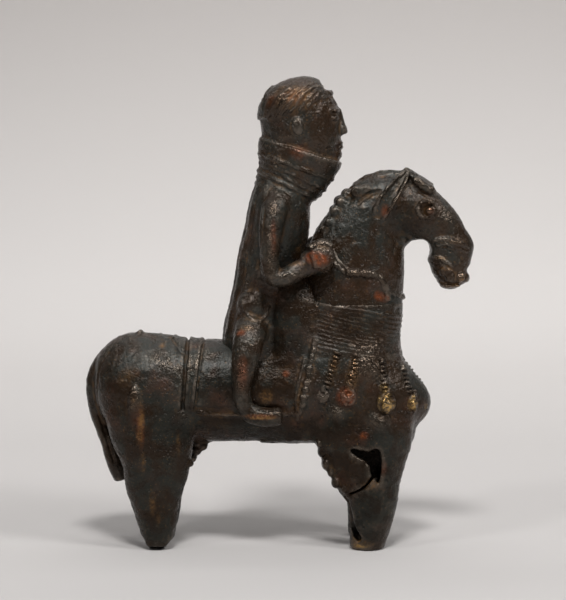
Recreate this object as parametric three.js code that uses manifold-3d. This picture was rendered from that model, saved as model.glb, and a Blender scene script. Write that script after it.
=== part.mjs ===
// Equestrian statuette: a hollow-cast bronze horse and rider, one casting, standing on its own four feet.
// Millimetres, +Z up, the horse faces +X, and -Y is its right side, whose fore leg is broken open.
// The origin is on the ground, under the middle of the figure.
//
// The free forms are lofts. Each is a list of stations along a spine, and a station is
// [x, y, z, half depth in the spine's upright plane, half width across].
// Stations are in units, and the figure stands just under a hundred units high.
import * as THREE from 'three';
import { mergeVertices } from 'three/addons/utils/BufferGeometryUtils.js';
import Module from 'manifold-3d';

const wasm = await Module();
wasm.setup();

// Driving dimensions, in millimetres, and counts.
const FIGURE_HEIGHT = 188; // from the soles to the crown of the rider's head
const SHELL_WALL = 2.6; // bronze left round the hollow of the broken fore leg
const CRACK_WIDTH = 1.2;
const RIB_COUNT = 9; // turns of the cord wound round the horse's neck
const RIB_RELIEF = 0.9;
const RING_COUNT = 5; // rings round the rider's high collar
const RING_RELIEF = 0.8;
const NOSEBAND_RELIEF = 0.9;
const CLOTH_THICKNESS = 0.5; // of the saddle cloth
const CORD_RELIEF = 1.3; // of the cords along its edges
const REIN_RADIUS = 1.4;
const BEAD_COUNT = 5; // on each string of the breast collar
const BEAD_RADIUS = 1.8;
const BEAD_WAIST = 0.6; // of the string between two beads, as a share of the radius
const LOCK_RELIEF = 0.9; // of the locks of hair
const LOCK_COUNT = 6; // round the cap of hair

// Heights of the soles and of the crown, in units.
const SOLE = 0.6;
const CROWN = 99.4;

const unit = FIGURE_HEIGHT / (CROWN - SOLE);
const toRadians = THREE.MathUtils.degToRad;
const mix = THREE.MathUtils.lerp;

// `count` even steps from 0 to 1.
const evenly = (count) => Array.from({ length: count }, (_, k) => k / (count - 1));

// Value number `key` of the stations at place s, on a Catmull-Rom curve. s runs from 0 to the last station.
function along(stations, key, s) {
  const last = stations.length - 1;
  const i = Math.min(Math.floor(s), last - 1);
  const t = s - i;
  const value = (k) => stations[Math.min(Math.max(k, 0), last)][key];
  const [a, b, c, d] = [value(i - 1), value(i), value(i + 1), value(i + 2)];
  const cubic = (3 * b - a - 3 * c + d) * t ** 3;
  const square = (2 * a - 5 * b + 4 * c - d) * t ** 2;
  return (cubic + square + (c - a) * t + 2 * b) / 2;
}

// The section of a loft at s: its centre, its directions and its half sizes, in millimetres.
function sectionAt(stations, s) {
  const last = stations.length - 1;
  const at = (place) => {
    const inside = Math.min(Math.max(place, 0), last);
    return new THREE.Vector3(...[0, 1, 2].map((key) => unit * along(stations, key, inside)));
  };
  const nudge = 0.02;
  const tangent = at(s + nudge).sub(at(s - nudge)).normalize();
  const side = new THREE.Vector3(0, 1, 0).addScaledVector(tangent, -tangent.y).normalize();
  const normal = tangent.clone().cross(side);
  const [depth, width] = [3, 4].map((key) => unit * along(stations, key, s));
  return { centre: at(s), tangent, side, normal, depth, width };
}

// A point of a loft's skin, `angle` degrees round from its normal towards +Y, raised by `lift` millimetres.
function onSkin(stations, s, angle, lift = 0) {
  const { centre, side, normal, depth, width } = sectionAt(stations, s);
  return centre
    .addScaledVector(normal, (depth + lift) * Math.cos(toRadians(angle)))
    .addScaledVector(side, (width + lift) * Math.sin(toRadians(angle)));
}

// The place at which a loft's spine passes the given x (key 0) or z (key 2), in units.
function placeOf(stations, key, value) {
  const rising = stations.at(-1)[key] > stations[0][key];
  let [low, high] = [0, stations.length - 1];
  for (let k = 0; k < 30; k += 1) {
    const middle = (low + high) / 2;
    if ((along(stations, key, middle) < value) === rising) low = middle;
    else high = middle;
  }
  return (low + high) / 2;
}

// The place at which a loft's skin, at that angle, passes the height z, in units. The spine runs downwards.
function skinPlace(stations, angle, z) {
  let [low, high] = [0, stations.length - 1];
  for (let k = 0; k < 30; k += 1) {
    const middle = (low + high) / 2;
    if (onSkin(stations, middle, angle).z > z * unit) low = middle;
    else high = middle;
  }
  return (low + high) / 2;
}

// A point of the skin of a loft that runs downwards, at that angle and height, in units.
function skinSpot(stations, angle, z) {
  return onSkin(stations, skinPlace(stations, angle, z), angle).divideScalar(unit).toArray();
}

function solidOf(geometry) {
  const bare = geometry.clone();
  bare.deleteAttribute('normal');
  bare.deleteAttribute('uv');
  const merged = mergeVertices(bare, 1e-4);
  return new wasm.Manifold(new wasm.Mesh({
    numProp: 3,
    vertProperties: new Float32Array(merged.attributes.position.array),
    triVerts: new Uint32Array(merged.index.array),
  }));
}

// Closes a stack of rings, each a list of as many points, with a pole at each end, into one solid.
function stackSolid(rings, startPole, endPole) {
  const sides = rings[0].length;
  const points = [startPole, ...rings.flat(), endPole];
  const end = points.length - 1;
  const faces = [];
  for (let j = 0; j < sides; j += 1) {
    const k = (j + 1) % sides;
    faces.push([0, 1 + j, 1 + k], [end, end - sides + k, end - sides + j]);
    for (let i = 0; i < rings.length - 1; i += 1) {
      const row = 1 + i * sides;
      faces.push([row + j, row + sides + k, row + k], [row + j, row + sides + j, row + sides + k]);
    }
  }
  return solidOf(new THREE.BufferGeometry().setFromPoints(points).setIndex(faces.flat()));
}

// A solid along the stations, with a ring at each of `places`, each ring at `angles` round the section.
// `lift(s, angle)` raises the skin by millimetres. The caps are the lengths of the domed ends, in units.
function loft(stations, options = {}) {
  const last = stations.length - 1;
  const { sides = 12, caps = [1, 1], domes = 2, lift = () => 0 } = options;
  const { places = evenly(last + 1).map((t) => t * last) } = options;
  const { angles = Array.from({ length: sides }, (_, j) => (360 * j) / sides) } = options;
  const ring = (s, shrink, shift) => {
    const { centre, tangent } = sectionAt(stations, s);
    const moved = centre.clone().addScaledVector(tangent, shift);
    const arm = (angle) => onSkin(stations, s, angle, lift(s, angle)).sub(centre);
    return angles.map((angle) => arm(angle).multiplyScalar(shrink).add(moved));
  };
  const dome = (s, cap, way) => {
    const count = cap > 0 ? domes - 1 : 0;
    const turns = Array.from({ length: count }, (_, k) => toRadians(90 * ((k + 1) / domes)));
    return turns.map((a) => ring(s, Math.cos(a), way * unit * cap * Math.sin(a)));
  };
  const pole = (s, cap, way) => {
    const { centre, tangent } = sectionAt(stations, s);
    return centre.addScaledVector(tangent, way * unit * cap);
  };
  const [from, to] = [places[0], places.at(-1)];
  const body = places.map((s) => ring(s, 1, 0));
  const rings = [...dome(from, caps[0], -1).reverse(), ...body, ...dome(to, caps[1], 1)];
  return stackSolid(rings, pole(from, caps[0], -1), pole(to, caps[1], 1));
}

// Places for a loft: its own stations, but only the inserted ones from the first to the last of those.
function placesWith(stations, inserted) {
  const own = stations.map((_, k) => k);
  const margin = 0.25;
  const before = own.filter((s) => s < inserted[0] - margin);
  const after = own.filter((s) => s > inserted.at(-1) + margin);
  return [...before, ...inserted, ...after];
}

// An ellipsoid: its centre and half sizes in units, tilted up in front by `tilt` degrees.
function egg({ at, size, tilt = 0 }, [round, rows] = [6, 4]) {
  const geometry = new THREE.SphereGeometry(1, round, rows);
  geometry.scale(...size.map((half) => half * unit));
  geometry.rotateY(toRadians(-tilt));
  geometry.translate(...at.map((value) => value * unit));
  return solidOf(geometry);
}

// Shapes are written for the right side. `way` is 1 there and -1 on the left side.
const turned = (stations, way) => stations.map(([x, y, ...rest]) => [x, way * y, ...rest]);
const turnedEgg = ({ at: [x, y, z], ...rest }, way) => ({ at: [x, way * y, z], ...rest });
const bothSides = (make) => [1, -1].flatMap(make);

// The horse.

const TRUNK = [
  [-35.2, 0, 34.2, 8.4, 7.4], [-31, 0, 34.4, 10.9, 9.4], [-25, 0, 34, 11.1, 10.1], [-18, 0, 33.2, 10.9, 9.8],
  [-11, 0, 33, 10.7, 9.4], [0, 0, 33, 10.6, 9.6], [9, 0, 33.2, 10.9, 9.8], [18, 0, 33.4, 11, 9.6],
];
// Down the neck from under the head to the breast, between the fore legs.
const NECK = [
  [19.4, 0, 71.5, 7, 5.4], [18.3, 0, 67, 8.7, 6.3], [16.8, 0, 61.5, 10.2, 7], [15.9, 0, 55.5, 10.9, 7.7],
  [15.3, 0, 50, 11.1, 8.4], [14.2, 0, 44.5, 12, 9.2], [13.4, 0, 39, 14.3, 10], [13.4, 0, 33.5, 17, 10.5],
  [13.5, 0, 29.5, 17.9, 10.4], [13.9, 0, 24.8, 15.2, 9.6],
];
const HEAD = [
  [18.6, 0, 71, 6.6, 5], [22.6, 0, 72.1, 6.8, 5.5], [27, 0, 71.7, 6.4, 5.5], [31, 0, 70, 5.7, 5.1],
  [34.3, 0, 66.8, 5.2, 4.5], [36.1, 0, 63, 4.7, 4.1], [36.6, 0, 59.6, 4.2, 3.8], [36.7, 0, 56.4, 3.4, 3.4],
];
const NOSEBANDS = { places: [4.7, 5.15], halfWidth: 0.14 }; // along the head
const MANE = [
  [9.6, 0, 66.4, 1.5, 1.5], [12.6, 0, 69, 1.8, 1.8], [15.2, 0, 72.6, 2, 2], [17.5, 0, 75, 2.1, 2.1],
  [20.8, 0, 77, 2.1, 2.1], [24.8, 0, 77.7, 2, 2.1], [29.2, 0, 76.2, 2, 2.3], [32, 0, 74.6, 1.8, 2.2],
];
const TAIL = [
  [-33.6, 0, 42, 1.8, 2.4], [-36.8, 0, 39.4, 1.7, 2.2], [-38.6, 0, 35.4, 1.7, 2], [-38.6, 0, 30.8, 1.6, 1.9],
  [-37.4, 0, 26, 1.5, 1.8], [-35.6, 0, 21.6, 1.5, 1.8], [-34.4, 0, 18.2, 1.8, 2], [-33.4, 0, 15.6, 1.5, 1.7],
];
const HIND_LEG = [
  [-27.2, -4.4, 36.6, 8.6, 5], [-26.8, -5.6, 30, 9.2, 5.2], [-25.9, -6.1, 24.5, 8.7, 4.9],
  [-25.2, -6.5, 19, 7.2, 4.4], [-25.6, -6.8, 14, 6.1, 3.9], [-25.3, -7, 9, 4.6, 3.5],
  [-24.5, -7.2, 4, 3.6, 3.1], [-24.5, -7.3, 1.6, 3.3, 2.9], [-24.5, -7.3, -1, 2.2, 2],
];
const FORE_LEG = [
  [18, -4.4, 33, 10.4, 5], [18.4, -5.4, 26.5, 10.2, 5.1], [18.5, -6, 21, 9.4, 4.8],
  [19, -6.4, 15.5, 7.1, 4.4], [20.1, -6.7, 11.5, 5.1, 3.9], [20, -6.9, 7.5, 4.4, 3.6],
  [19.3, -7.1, 3.5, 3.8, 3.3], [18.8, -7.2, 1.6, 3.6, 3.1], [18.6, -7.2, -1, 2.4, 2.2],
];
const SHEATH = [[-14.6, 0, 24, 1.6, 1.8], [-16.6, 0, 21.8, 1.5, 1.6], [-18.4, 0, 19, 1.1, 1.2]];
const EAR = [
  [19.9, -5.3, 69.6, 0.9, 0.6], [22, -5.6, 72.2, 1.8, 1], [24.4, -5, 75, 1.7, 1],
  [26.6, -3.7, 77.8, 1.1, 0.9], [27.9, -2.6, 79.6, 0.5, 0.6],
];
const EYE = { at: [31.2, -4.4, 72.1], size: [1.8, 1.3, 1.8] };
const KNOB = { at: [27.3, 0, 79.6], size: [0.8, 0.8, 0.8] };
const LIPS = [{ at: [38.3, 0, 57.3], size: [1.5, 2.6, 1.5] }, { at: [36.2, 0, 55.4], size: [2.2, 2.4, 1] }];

function horse() {
  const bands = NOSEBANDS.places.flatMap((s) => [s - NOSEBANDS.halfWidth, s, s + NOSEBANDS.halfWidth]);
  const bandLift = (s) => (NOSEBANDS.places.includes(s) ? NOSEBAND_RELIEF : 0);
  return [
    loft(TRUNK, { sides: 14, caps: [3.4, 4], domes: 3 }),
    loft(HEAD, { sides: 12, caps: [2, 2], places: placesWith(HEAD, bands), lift: bandLift }),
    loft(MANE, { sides: 6 }),
    loft(TAIL, { sides: 6, caps: [0.6, 1] }),
    loft(SHEATH, { sides: 6 }),
    ...[KNOB, ...LIPS].map((shape) => egg(shape)),
    ...bothSides((way) => [
      loft(turned(HIND_LEG, way), { caps: [4, 0] }),
      loft(turned(FORE_LEG, way), { caps: [4, 0] }),
      loft(turned(EAR, way), { sides: 5, caps: [0.8, 0.6] }),
      egg(turnedEgg(EYE, way)),
    ]),
  ];
}

// The neck, with the ribbed collar of wound cord round its lower half.
const COLLAR = { top: 51, foot: 42.2 };
function neck() {
  const [top, foot] = [COLLAR.top, COLLAR.foot].map((z) => placeOf(NECK, 2, z));
  const turns = evenly(2 * RIB_COUNT + 1).map((t) => mix(top, foot, t));
  const rib = (s) => (turns.indexOf(s) % 2 === 1 ? RIB_RELIEF : 0);
  return loft(NECK, { sides: 16, caps: [2, 1.4], places: placesWith(NECK, turns), lift: rib });
}

// Strings of beads hang from the collar's foot round the breast, each to a bell at an angle, with its radius.
const BELLS = [[0, 3.2], [29, 3.5], [56, 4.2], [88, 3.5], [107, 2.4]];
const BELL_BREADTH = 0.72; // as a share of a bell's height
const STRING = { foot: 34.2, bell: 30.8 };
function bellStrings() {
  const top = placeOf(NECK, 2, COLLAR.foot);
  const string = ([angle, radius]) => {
    const foot = skinPlace(NECK, angle, STRING.foot);
    const beads = evenly(2 * BEAD_COUNT + 1).map((t, k) => {
      const size = (BEAD_RADIUS * (k % 2 ? 1 : BEAD_WAIST)) / unit;
      return [...onSkin(NECK, mix(top, foot, t), angle).divideScalar(unit), size, size];
    });
    const size = [BELL_BREADTH, BELL_BREADTH, 1].map((share) => (share * radius) / unit);
    const bell = { at: skinSpot(NECK, angle, STRING.bell), size };
    return [loft(beads, { sides: 4, caps: [0, 0] }), egg(bell, [6, 5])];
  };
  const leftSide = BELLS.slice(1).map(([angle, radius]) => [-angle, radius]);
  return [...BELLS, ...leftSide].flatMap(string);
}

// The saddle cloth over the back, its edges raised into cords: two before the rider, two behind and one hem.
const CLOTH = { rear: [-19.6, -16.9], front: [4.4, 7], hem: 118, hemWidth: 8, tuck: 4, cordWidth: 0.1 };
function saddleCloth() {
  const cords = [...CLOTH.rear, ...CLOTH.front].map((x) => placeOf(TRUNK, 0, x));
  const places = cords.flatMap((s) => [s - CLOTH.cordWidth, s, s + CLOTH.cordWidth]);
  const inner = CLOTH.hem - CLOTH.hemWidth;
  const outer = CLOTH.hem + CLOTH.tuck;
  const across = evenly(9).map((t) => mix(-inner, inner, t));
  const angles = [-outer, -CLOTH.hem, ...across, CLOTH.hem, outer];
  const isEdge = (s, angle) => s === places[0] || s === places.at(-1) || Math.abs(angle) === outer;
  const isCord = (s, angle) => cords.includes(s) || Math.abs(angle) === CLOTH.hem;
  const lift = (s, angle) => {
    if (isEdge(s, angle)) return -CORD_RELIEF;
    return isCord(s, angle) ? CORD_RELIEF : CLOTH_THICKNESS;
  };
  return loft(TRUNK, { places, angles, lift, caps: [0, 0] });
}

// The rider.

const TORSO = [
  [1.2, 0, 76, 5.4, 6], [0.7, 0, 72.4, 6.3, 7.5], [0, 0, 67, 6.7, 7.3], [-1.4, 0, 61, 6.7, 6.6],
  [-2.6, 0, 55, 6.4, 6.3], [-3.8, 0, 50, 6.3, 6.9], [-4.5, 0, 45, 6.8, 7.6], [-4.7, 0, 40, 7, 7.4],
];
const HIGH_COLLAR = [
  [0.9, 0, 74.2, 5.8, 5.8], [2.4, 0, 77.2, 6.8, 6], [3.8, 0, 80, 8, 6.6], [5, 0, 83.6, 9.2, 7.4],
];
const RINGS_TOP = 2.1; // place along the high collar
const SKULL = [
  [4.4, 0, 95.4, 6.6, 5.8], [4.7, 0, 92.2, 8.1, 7], [5, 0, 88.5, 8.3, 7.1], [5.4, 0, 85, 8, 6.5],
  [6, 0, 82.2, 7, 5.4], [5.4, 0, 79.5, 5.6, 4.6],
];
// The cap of hair, from the nape up and forward to the brow.
const HAIR = [
  [-2, 0, 91, 2.2, 4.2], [0, 0, 92.4, 4.2, 6.6], [3.2, 0, 93.8, 5, 7.6], [6.6, 0, 95, 4.4, 6.8],
  [9.2, 0, 95.7, 2.9, 4.6],
];
const ARM = [
  [0.4, -5.4, 73.2, 2.6, 2.8], [-0.7, -7.7, 70.8, 2.6, 2.6], [-1.4, -8.8, 66, 2.3, 2.4],
  [-1.5, -9.2, 61, 2.2, 2.3], [-0.9, -9.2, 57.8, 2.3, 2.2], [1.6, -8.9, 57.6, 2.2, 2.1],
  [4.4, -8.4, 59.4, 2, 1.9], [6.6, -8.1, 61.2, 1.8, 1.7],
];
const HAND = [[6.2, -8, 61.6, 1.9, 1.6], [8.4, -8.1, 63.2, 2.3, 1.9], [10.6, -8, 63, 1.9, 1.7]];
const LEG = [
  [-5.2, -6.4, 47.4, 3.2, 3], [-5.9, -9.4, 44.4, 3, 2.6], [-6.4, -10.9, 40.4, 2.5, 2.2],
  [-6.6, -11.2, 36, 2.3, 2], [-6.4, -11.2, 32, 1.9, 1.8], [-5.3, -11.2, 29, 1.7, 1.7],
  [-2.4, -11, 27.7, 1.5, 1.9], [0.4, -10.7, 27.3, 1.1, 1.6],
];
const HEM = { at: [-4.9, -5.4, 51.4], size: [3.1, 3, 3.3] }; // the rounded hem of the tunic over the hip
// The mass of the saddle and the lap between the rider and the collar.
const LAP = [[3.4, 0, 57, 4.4, 6], [3.8, 0, 52, 6.2, 7.6], [4, 0, 46.5, 6.8, 8.4], [4.2, 0, 41, 6.6, 8.2]];

function rider() {
  const ringPlaces = evenly(2 * RING_COUNT + 1).map((t) => RINGS_TOP * t);
  const ring = (s) => (ringPlaces.indexOf(s) % 2 === 1 ? RING_RELIEF : 0);
  const sides = 2 * LOCK_COUNT;
  const lock = (s, angle) => (Math.round((angle * sides) / 360) % 2 ? -LOCK_RELIEF / 2 : LOCK_RELIEF / 2);
  return [
    loft(TORSO, { sides: 12, caps: [1.4, 2] }),
    loft(SKULL, { sides: 12 }),
    loft(HIGH_COLLAR, { sides: 12, caps: [0, 0], places: placesWith(HIGH_COLLAR, ringPlaces), lift: ring }),
    loft(HAIR, { sides, lift: lock }),
    loft(LAP, { sides: 8 }),
    ...face(),
    ...bothSides((way) => [
      loft(turned(ARM, way), { sides: 8 }),
      loft(turned(HAND, way), { sides: 6 }),
      loft(turned(LEG, way), { sides: 8, caps: [1, 1.2] }),
      egg(turnedEgg(HEM, way), [6, 5]),
    ]),
  ];
}

// The face keeps the usual thirds: brow, foot of the nose and chin, with the eyes half-way up the head.
const NOSE = [[12.8, 0, 92.2, 0.8, 0.9], [13.3, 0, 89.4, 1, 1.1], [13.8, 0, 87.8, 1.1, 1.6]];
const UPPER_LIP = { at: [13.1, 0, 85.45], size: [0.9, 2.2, 0.5] };
const LOWER_LIP = { at: [13.1, 0, 84.55], size: [0.9, 2.2, 0.5] };
const CHIN = { at: [12.2, 0, 83], size: [1.5, 2.4, 1.4] };
const BROW = { at: [12, -2.9, 92.2], size: [1.2, 2.6, 0.6] };
const EYEBALL = { at: [11.8, -3.1, 90.6], size: [1.2, 1.6, 0.8] };
const MANS_EAR = { at: [4.4, -7.1, 89], size: [1.2, 0.8, 2], tilt: 10 };
function face() {
  return [
    loft(NOSE, { sides: 6, caps: [0.5, 0.5] }),
    ...[UPPER_LIP, LOWER_LIP, CHIN].map((shape) => egg(shape, [8, 4])),
    ...bothSides((way) => [BROW, EYEBALL, MANS_EAR].map((shape) => egg(turnedEgg(shape, way)))),
  ];
}

// The reins run from the hands to the neck, and along it, angle by angle and height by height, to the throat.
const REIN = {
  hand: [[8.6, -8.2, 62.4], [11.4, -8, 60]],
  neck: [[97, 58.6], [74, 58], [52, 57.2], [30, 55.8], [0, 54.6]],
};
function rein(way) {
  const loose = REIN.hand.map(([x, y, z]) => [x, way * y, z]);
  const lying = REIN.neck.map(([angle, z]) => skinSpot(NECK, -way * angle, z));
  const radius = REIN_RADIUS / unit;
  return loft([...loose, ...lying].map((point) => [...point, radius, radius]), { sides: 4, caps: [0, 0] });
}

// The break in the right fore leg: the torn edge of its hole, the crack and the slot behind, in x and z.
const HOLE = [
  [15.4, 22.2], [17.6, 21.9], [18.9, 21.6], [20.5, 22.4], [21.5, 21.9], [21.9, 19.4], [21.7, 17.1],
  [21.2, 14.6], [20.4, 16], [19.5, 17], [19.4, 18.3], [18.4, 19.6], [16.6, 20.6], [15.4, 21.5],
];
const CRACK = [[19.9, 16.6], [18.5, 14.7], [16.8, 13.5], [14.8, 12.6]];
const SLOT = [
  [13.2, 12.9], [15.2, 12.4], [15.8, 8], [16.5, 5.2], [16, 3.6], [15, 4.2], [14.7, 8], [13.4, 11],
];
const CRACK_LEAN = 0.6; // sideways share of the crack's width
const HOLLOW_CAPS = [2, 0.6];

// A prism from the middle of the right fore leg outwards.
function prism(outline) {
  const shape = new THREE.Shape(outline.map(([x, z]) => new THREE.Vector2(x * unit, z * unit)));
  const geometry = new THREE.ExtrudeGeometry(shape, { depth: FIGURE_HEIGHT, bevelEnabled: false });
  geometry.rotateX(Math.PI / 2);
  geometry.translate(0, FORE_LEG.at(-1)[1] * unit, 0);
  return solidOf(geometry);
}

function crackOutline() {
  const half = CRACK_WIDTH / unit / 2;
  const shifted = (way) => CRACK.map(([x, z]) => [x + way * half * CRACK_LEAN, z - way * half]);
  return [...shifted(1), ...shifted(-1).reverse()];
}

// The hollow runs from the second station of the leg to the third from its end, so that the foot is solid.
function breakage() {
  const hollow = loft(FORE_LEG.slice(1, -2), { lift: () => -SHELL_WALL, caps: HOLLOW_CAPS, sides: 10 });
  return [hollow, ...[HOLE, crackOutline(), SLOT].map(prism)];
}

// The casting.

// Everything below the soles, which leaves them flat and level.
function ground() {
  const slab = new THREE.BoxGeometry(FIGURE_HEIGHT, FIGURE_HEIGHT, FIGURE_HEIGHT);
  return solidOf(slab.translate(0, 0, SOLE * unit - FIGURE_HEIGHT / 2));
}

// A deep pit on each side of the throat, above the collar.
const PIT = { angle: 33, z: 51, size: [1.1, 1.4, 1.2] };
const pit = (way) => egg({ at: skinSpot(NECK, way * PIT.angle, PIT.z), size: PIT.size });

function meshOf(solid, material, name) {
  const { vertProperties, triVerts } = solid.getMesh();
  const geometry = new THREE.BufferGeometry();
  geometry.setAttribute('position', new THREE.BufferAttribute(vertProperties, 3));
  geometry.setIndex([...triVerts]);
  const mesh = new THREE.Mesh(geometry, material);
  mesh.name = name;
  return mesh;
}

const bronze = new THREE.MeshStandardMaterial({ color: 0x33271f, roughness: 0.45, metalness: 0.7 });
const added = [...horse(), neck(), ...bellStrings(), saddleCloth(), ...rider(), ...bothSides(rein)];
const whole = added.reduce((sum, solid) => sum.add(solid));
const cuts = [ground(), ...bothSides(pit), ...breakage()];
const casting = cuts.reduce((rest, solid) => rest.subtract(solid), whole);

const figure = new THREE.Group();
figure.add(meshOf(casting, bronze, 'horse_and_rider'));
const box = new THREE.Box3().setFromObject(figure);
figure.position.set(-(box.min.x + box.max.x) / 2, -(box.min.y + box.max.y) / 2, -box.min.z);

export default figure;
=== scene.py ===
"""Looks of a small cast horseman: a bronze horse and rider in one casting, with cords, beads and bells.

It is made as its founder made it. Soft masses are blended into the bodies of the horse and the rider, cords,
coils and bells are laid on them, all is melted into one skin, and the skin is hammered, pitted and coloured.

The tables give each mass as stations along its spine: x, y, z, half depth in the spine's upright plane and
half width across. They are in units, of which the figure is nearly a hundred high. A place given by the
picture's pixels lies where the camera's ray through it meets the form. All the rest is in millimetres, in the
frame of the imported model, until a mesh is made.
"""

import functools
import itertools
import math

import bpy
import numpy as np
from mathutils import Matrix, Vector


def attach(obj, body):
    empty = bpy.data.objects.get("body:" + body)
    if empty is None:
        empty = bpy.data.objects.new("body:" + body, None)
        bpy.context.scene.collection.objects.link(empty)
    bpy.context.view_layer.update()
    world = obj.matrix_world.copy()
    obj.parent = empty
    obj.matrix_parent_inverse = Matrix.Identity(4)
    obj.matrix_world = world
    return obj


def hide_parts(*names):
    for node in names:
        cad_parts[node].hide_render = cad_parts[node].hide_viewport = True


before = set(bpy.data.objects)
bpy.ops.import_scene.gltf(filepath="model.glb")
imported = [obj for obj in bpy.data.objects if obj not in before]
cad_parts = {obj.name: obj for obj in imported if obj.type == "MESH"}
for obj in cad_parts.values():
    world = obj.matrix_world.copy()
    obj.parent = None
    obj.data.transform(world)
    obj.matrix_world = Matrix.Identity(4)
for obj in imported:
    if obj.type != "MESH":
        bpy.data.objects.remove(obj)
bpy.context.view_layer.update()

FIGURE_HEIGHT = 188.0  # millimetres
DRAWN_HEIGHT = 98.8  # units
UNIT = FIGURE_HEIGHT / DRAWN_HEIGHT
DRAWN_GROUND = 0.6  # units
DRAWN_MIDDLE = 0.893  # millimetres
GROUND_SHIFT = np.array([-DRAWN_MIDDLE, 0.0, -DRAWN_GROUND * UNIT])
FOOT_MIDDLE = -7.2  # y of the right feet, in units
MM = 0.001
BOTH = (1, -1)  # the right side, then the left
FAR = 9.0  # the distance written where no mass is near
MARGIN = 3.5  # how far outside a mass its distance is worked out


# The drawing

TRUNK = [
    [-35.2, 0, 34.2, 8.4, 7.4], [-31, 0, 34.4, 10.9, 9.4], [-25, 0, 34, 11.1, 10.1],
    [-18, 0, 33.2, 10.9, 9.8], [-11, 0, 33, 10.7, 9.4], [0, 0, 33, 10.6, 9.6],
    [9, 0, 33.2, 10.9, 9.8], [18, 0, 33.4, 11, 9.6],
]
NECK = [
    [19.4, 0, 71.5, 7, 5.4], [18.3, 0, 67, 8.7, 6.3], [16.8, 0, 61.5, 10.2, 7], [15.9, 0, 55.5, 10.9, 7.7],
    [15.3, 0, 50, 11.1, 8.3], [14.2, 0, 44.5, 12, 8.9], [13.4, 0, 39, 14.3, 10.2], [13.4, 0, 33.5, 17, 10.6],
    [13.5, 0, 29.5, 17.9, 10.4], [13.9, 0, 24.8, 15.2, 9.6],
]
HEAD = [
    [18.6, 0, 71, 6.6, 5], [22.6, 0, 72.1, 6.8, 5.5], [27, 0, 71.7, 6.4, 5.5], [31, 0, 70, 5.7, 5.1],
    [34.3, 0, 66.8, 5.2, 4.5], [36.1, 0, 63, 4.7, 4.1], [36.6, 0, 59.6, 4.1, 3.7], [36.9, 0, 56.8, 2.8, 3],
]
MANE = [
    [9.6, 0, 66.6, 1.2, 1.5], [12.4, 0, 69.2, 1.6, 1.9], [15, 0, 72.6, 1.9, 2.2], [17.5, 0, 75, 2.1, 2.1],
    [20.8, 0, 77, 2.1, 2.1], [24.8, 0, 77.7, 2, 2.1], [29, 0, 76.2, 2.3, 2.6], [31.8, 0, 74.3, 2.2, 2.6],
]
FORELOCK = [
    [27.7, 0, 79, 1, 2.4], [29.1, 0, 77.7, 1.35, 3.3],
    [30.6, 0, 76.7, 1.45, 3.7], [31.9, 0, 75.9, 1.35, 3.5],
]
TAIL = [
    [-33.6, 0, 42, 1.8, 2.4], [-36.8, 0, 39.4, 1.7, 2.2], [-38.6, 0, 35.4, 1.7, 2],
    [-38.6, 0, 30.8, 1.6, 1.9], [-37.4, 0, 26, 1.5, 1.8], [-35.6, 0, 21.4, 1.6, 1.8],
    [-34.3, 0, 17.8, 1.9, 2], [-33.2, 0, 14.6, 1.6, 1.7],
]
HIND_LEG = [
    [-27.2, -4.4, 36.6, 8.6, 5], [-26.8, -5.6, 30, 9.2, 5.2], [-25.9, -6.1, 24.5, 8.7, 4.9],
    [-25.2, -6.5, 19, 7.2, 4.4], [-25.6, -6.8, 14, 6.1, 3.9], [-25.3, -7, 9, 4.7, 3.5],
    [-24.9, -7.2, 4, 3.5, 3.1], [-25.3, -7.3, 2.2, 2.8, 2.7], [-25.7, -7.3, 0.6, 2, 2.1],
    [-25.8, -7.3, -0.6, 1.3, 1.4],
]
FORE_LEG = [
    [18, -4.4, 33, 10.4, 5], [18.4, -5.4, 26.5, 10.2, 5.1], [18.5, -6, 21, 9.4, 4.8],
    [19.3, -6.4, 15.5, 7.1, 4.4], [20.1, -6.7, 11.5, 5.4, 3.9], [19.9, -6.9, 7.5, 4.6, 3.6],
    [19.3, -7.1, 3.5, 3.9, 3.3], [19, -7.2, 1.6, 3.5, 3.1], [18.8, -7.2, -1, 2.4, 2.2],
]
SHEATH = [[-14.6, 0, 24, 1.6, 1.8], [-16.6, 0, 21.8, 1.5, 1.6], [-18.4, 0, 19, 1.1, 1.2]]
LAP = [[3.4, 0, 57, 4.4, 6], [3.8, 0, 52, 6.2, 7.6], [4, 0, 46.5, 6.8, 8.4], [4.2, 0, 41, 6.6, 8.2]]
TORSO = [
    [1.2, 0, 76, 5.4, 6], [0.7, 0, 72.4, 6.3, 7.5], [0, 0, 67, 6.7, 7.3], [-1.4, 0, 61, 6.7, 6.6],
    [-2.6, 0, 55, 6.4, 6.3], [-3.8, 0, 50, 6.3, 6.9], [-4.5, 0, 45, 6.8, 7.6], [-4.7, 0, 40, 7, 7.4],
]
HIGH_COLLAR = [
    [0.9, 0, 74.2, 5.8, 5.8], [2.4, 0, 77.2, 6.8, 6], [3.8, 0, 80, 8, 6.6], [5, 0, 83.6, 9.2, 7.4],
]
SKULL = [
    [4.4, 0, 95.4, 6.6, 5.8], [4.7, 0, 92.2, 8.1, 7], [5, 0, 88.5, 8.3, 7.1], [5.4, 0, 85, 8, 6.5],
    [6, 0, 82.2, 7, 5.4], [5.4, 0, 79.5, 5.6, 4.6],
]
HAIR = [
    [-2, 0, 91, 2.2, 4.2], [0, 0, 92.4, 4.2, 6.6], [3.2, 0, 93.8, 5, 7.6], [6.6, 0, 95, 4.4, 6.8],
    [9.2, 0, 95.7, 2.9, 4.6],
]
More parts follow.
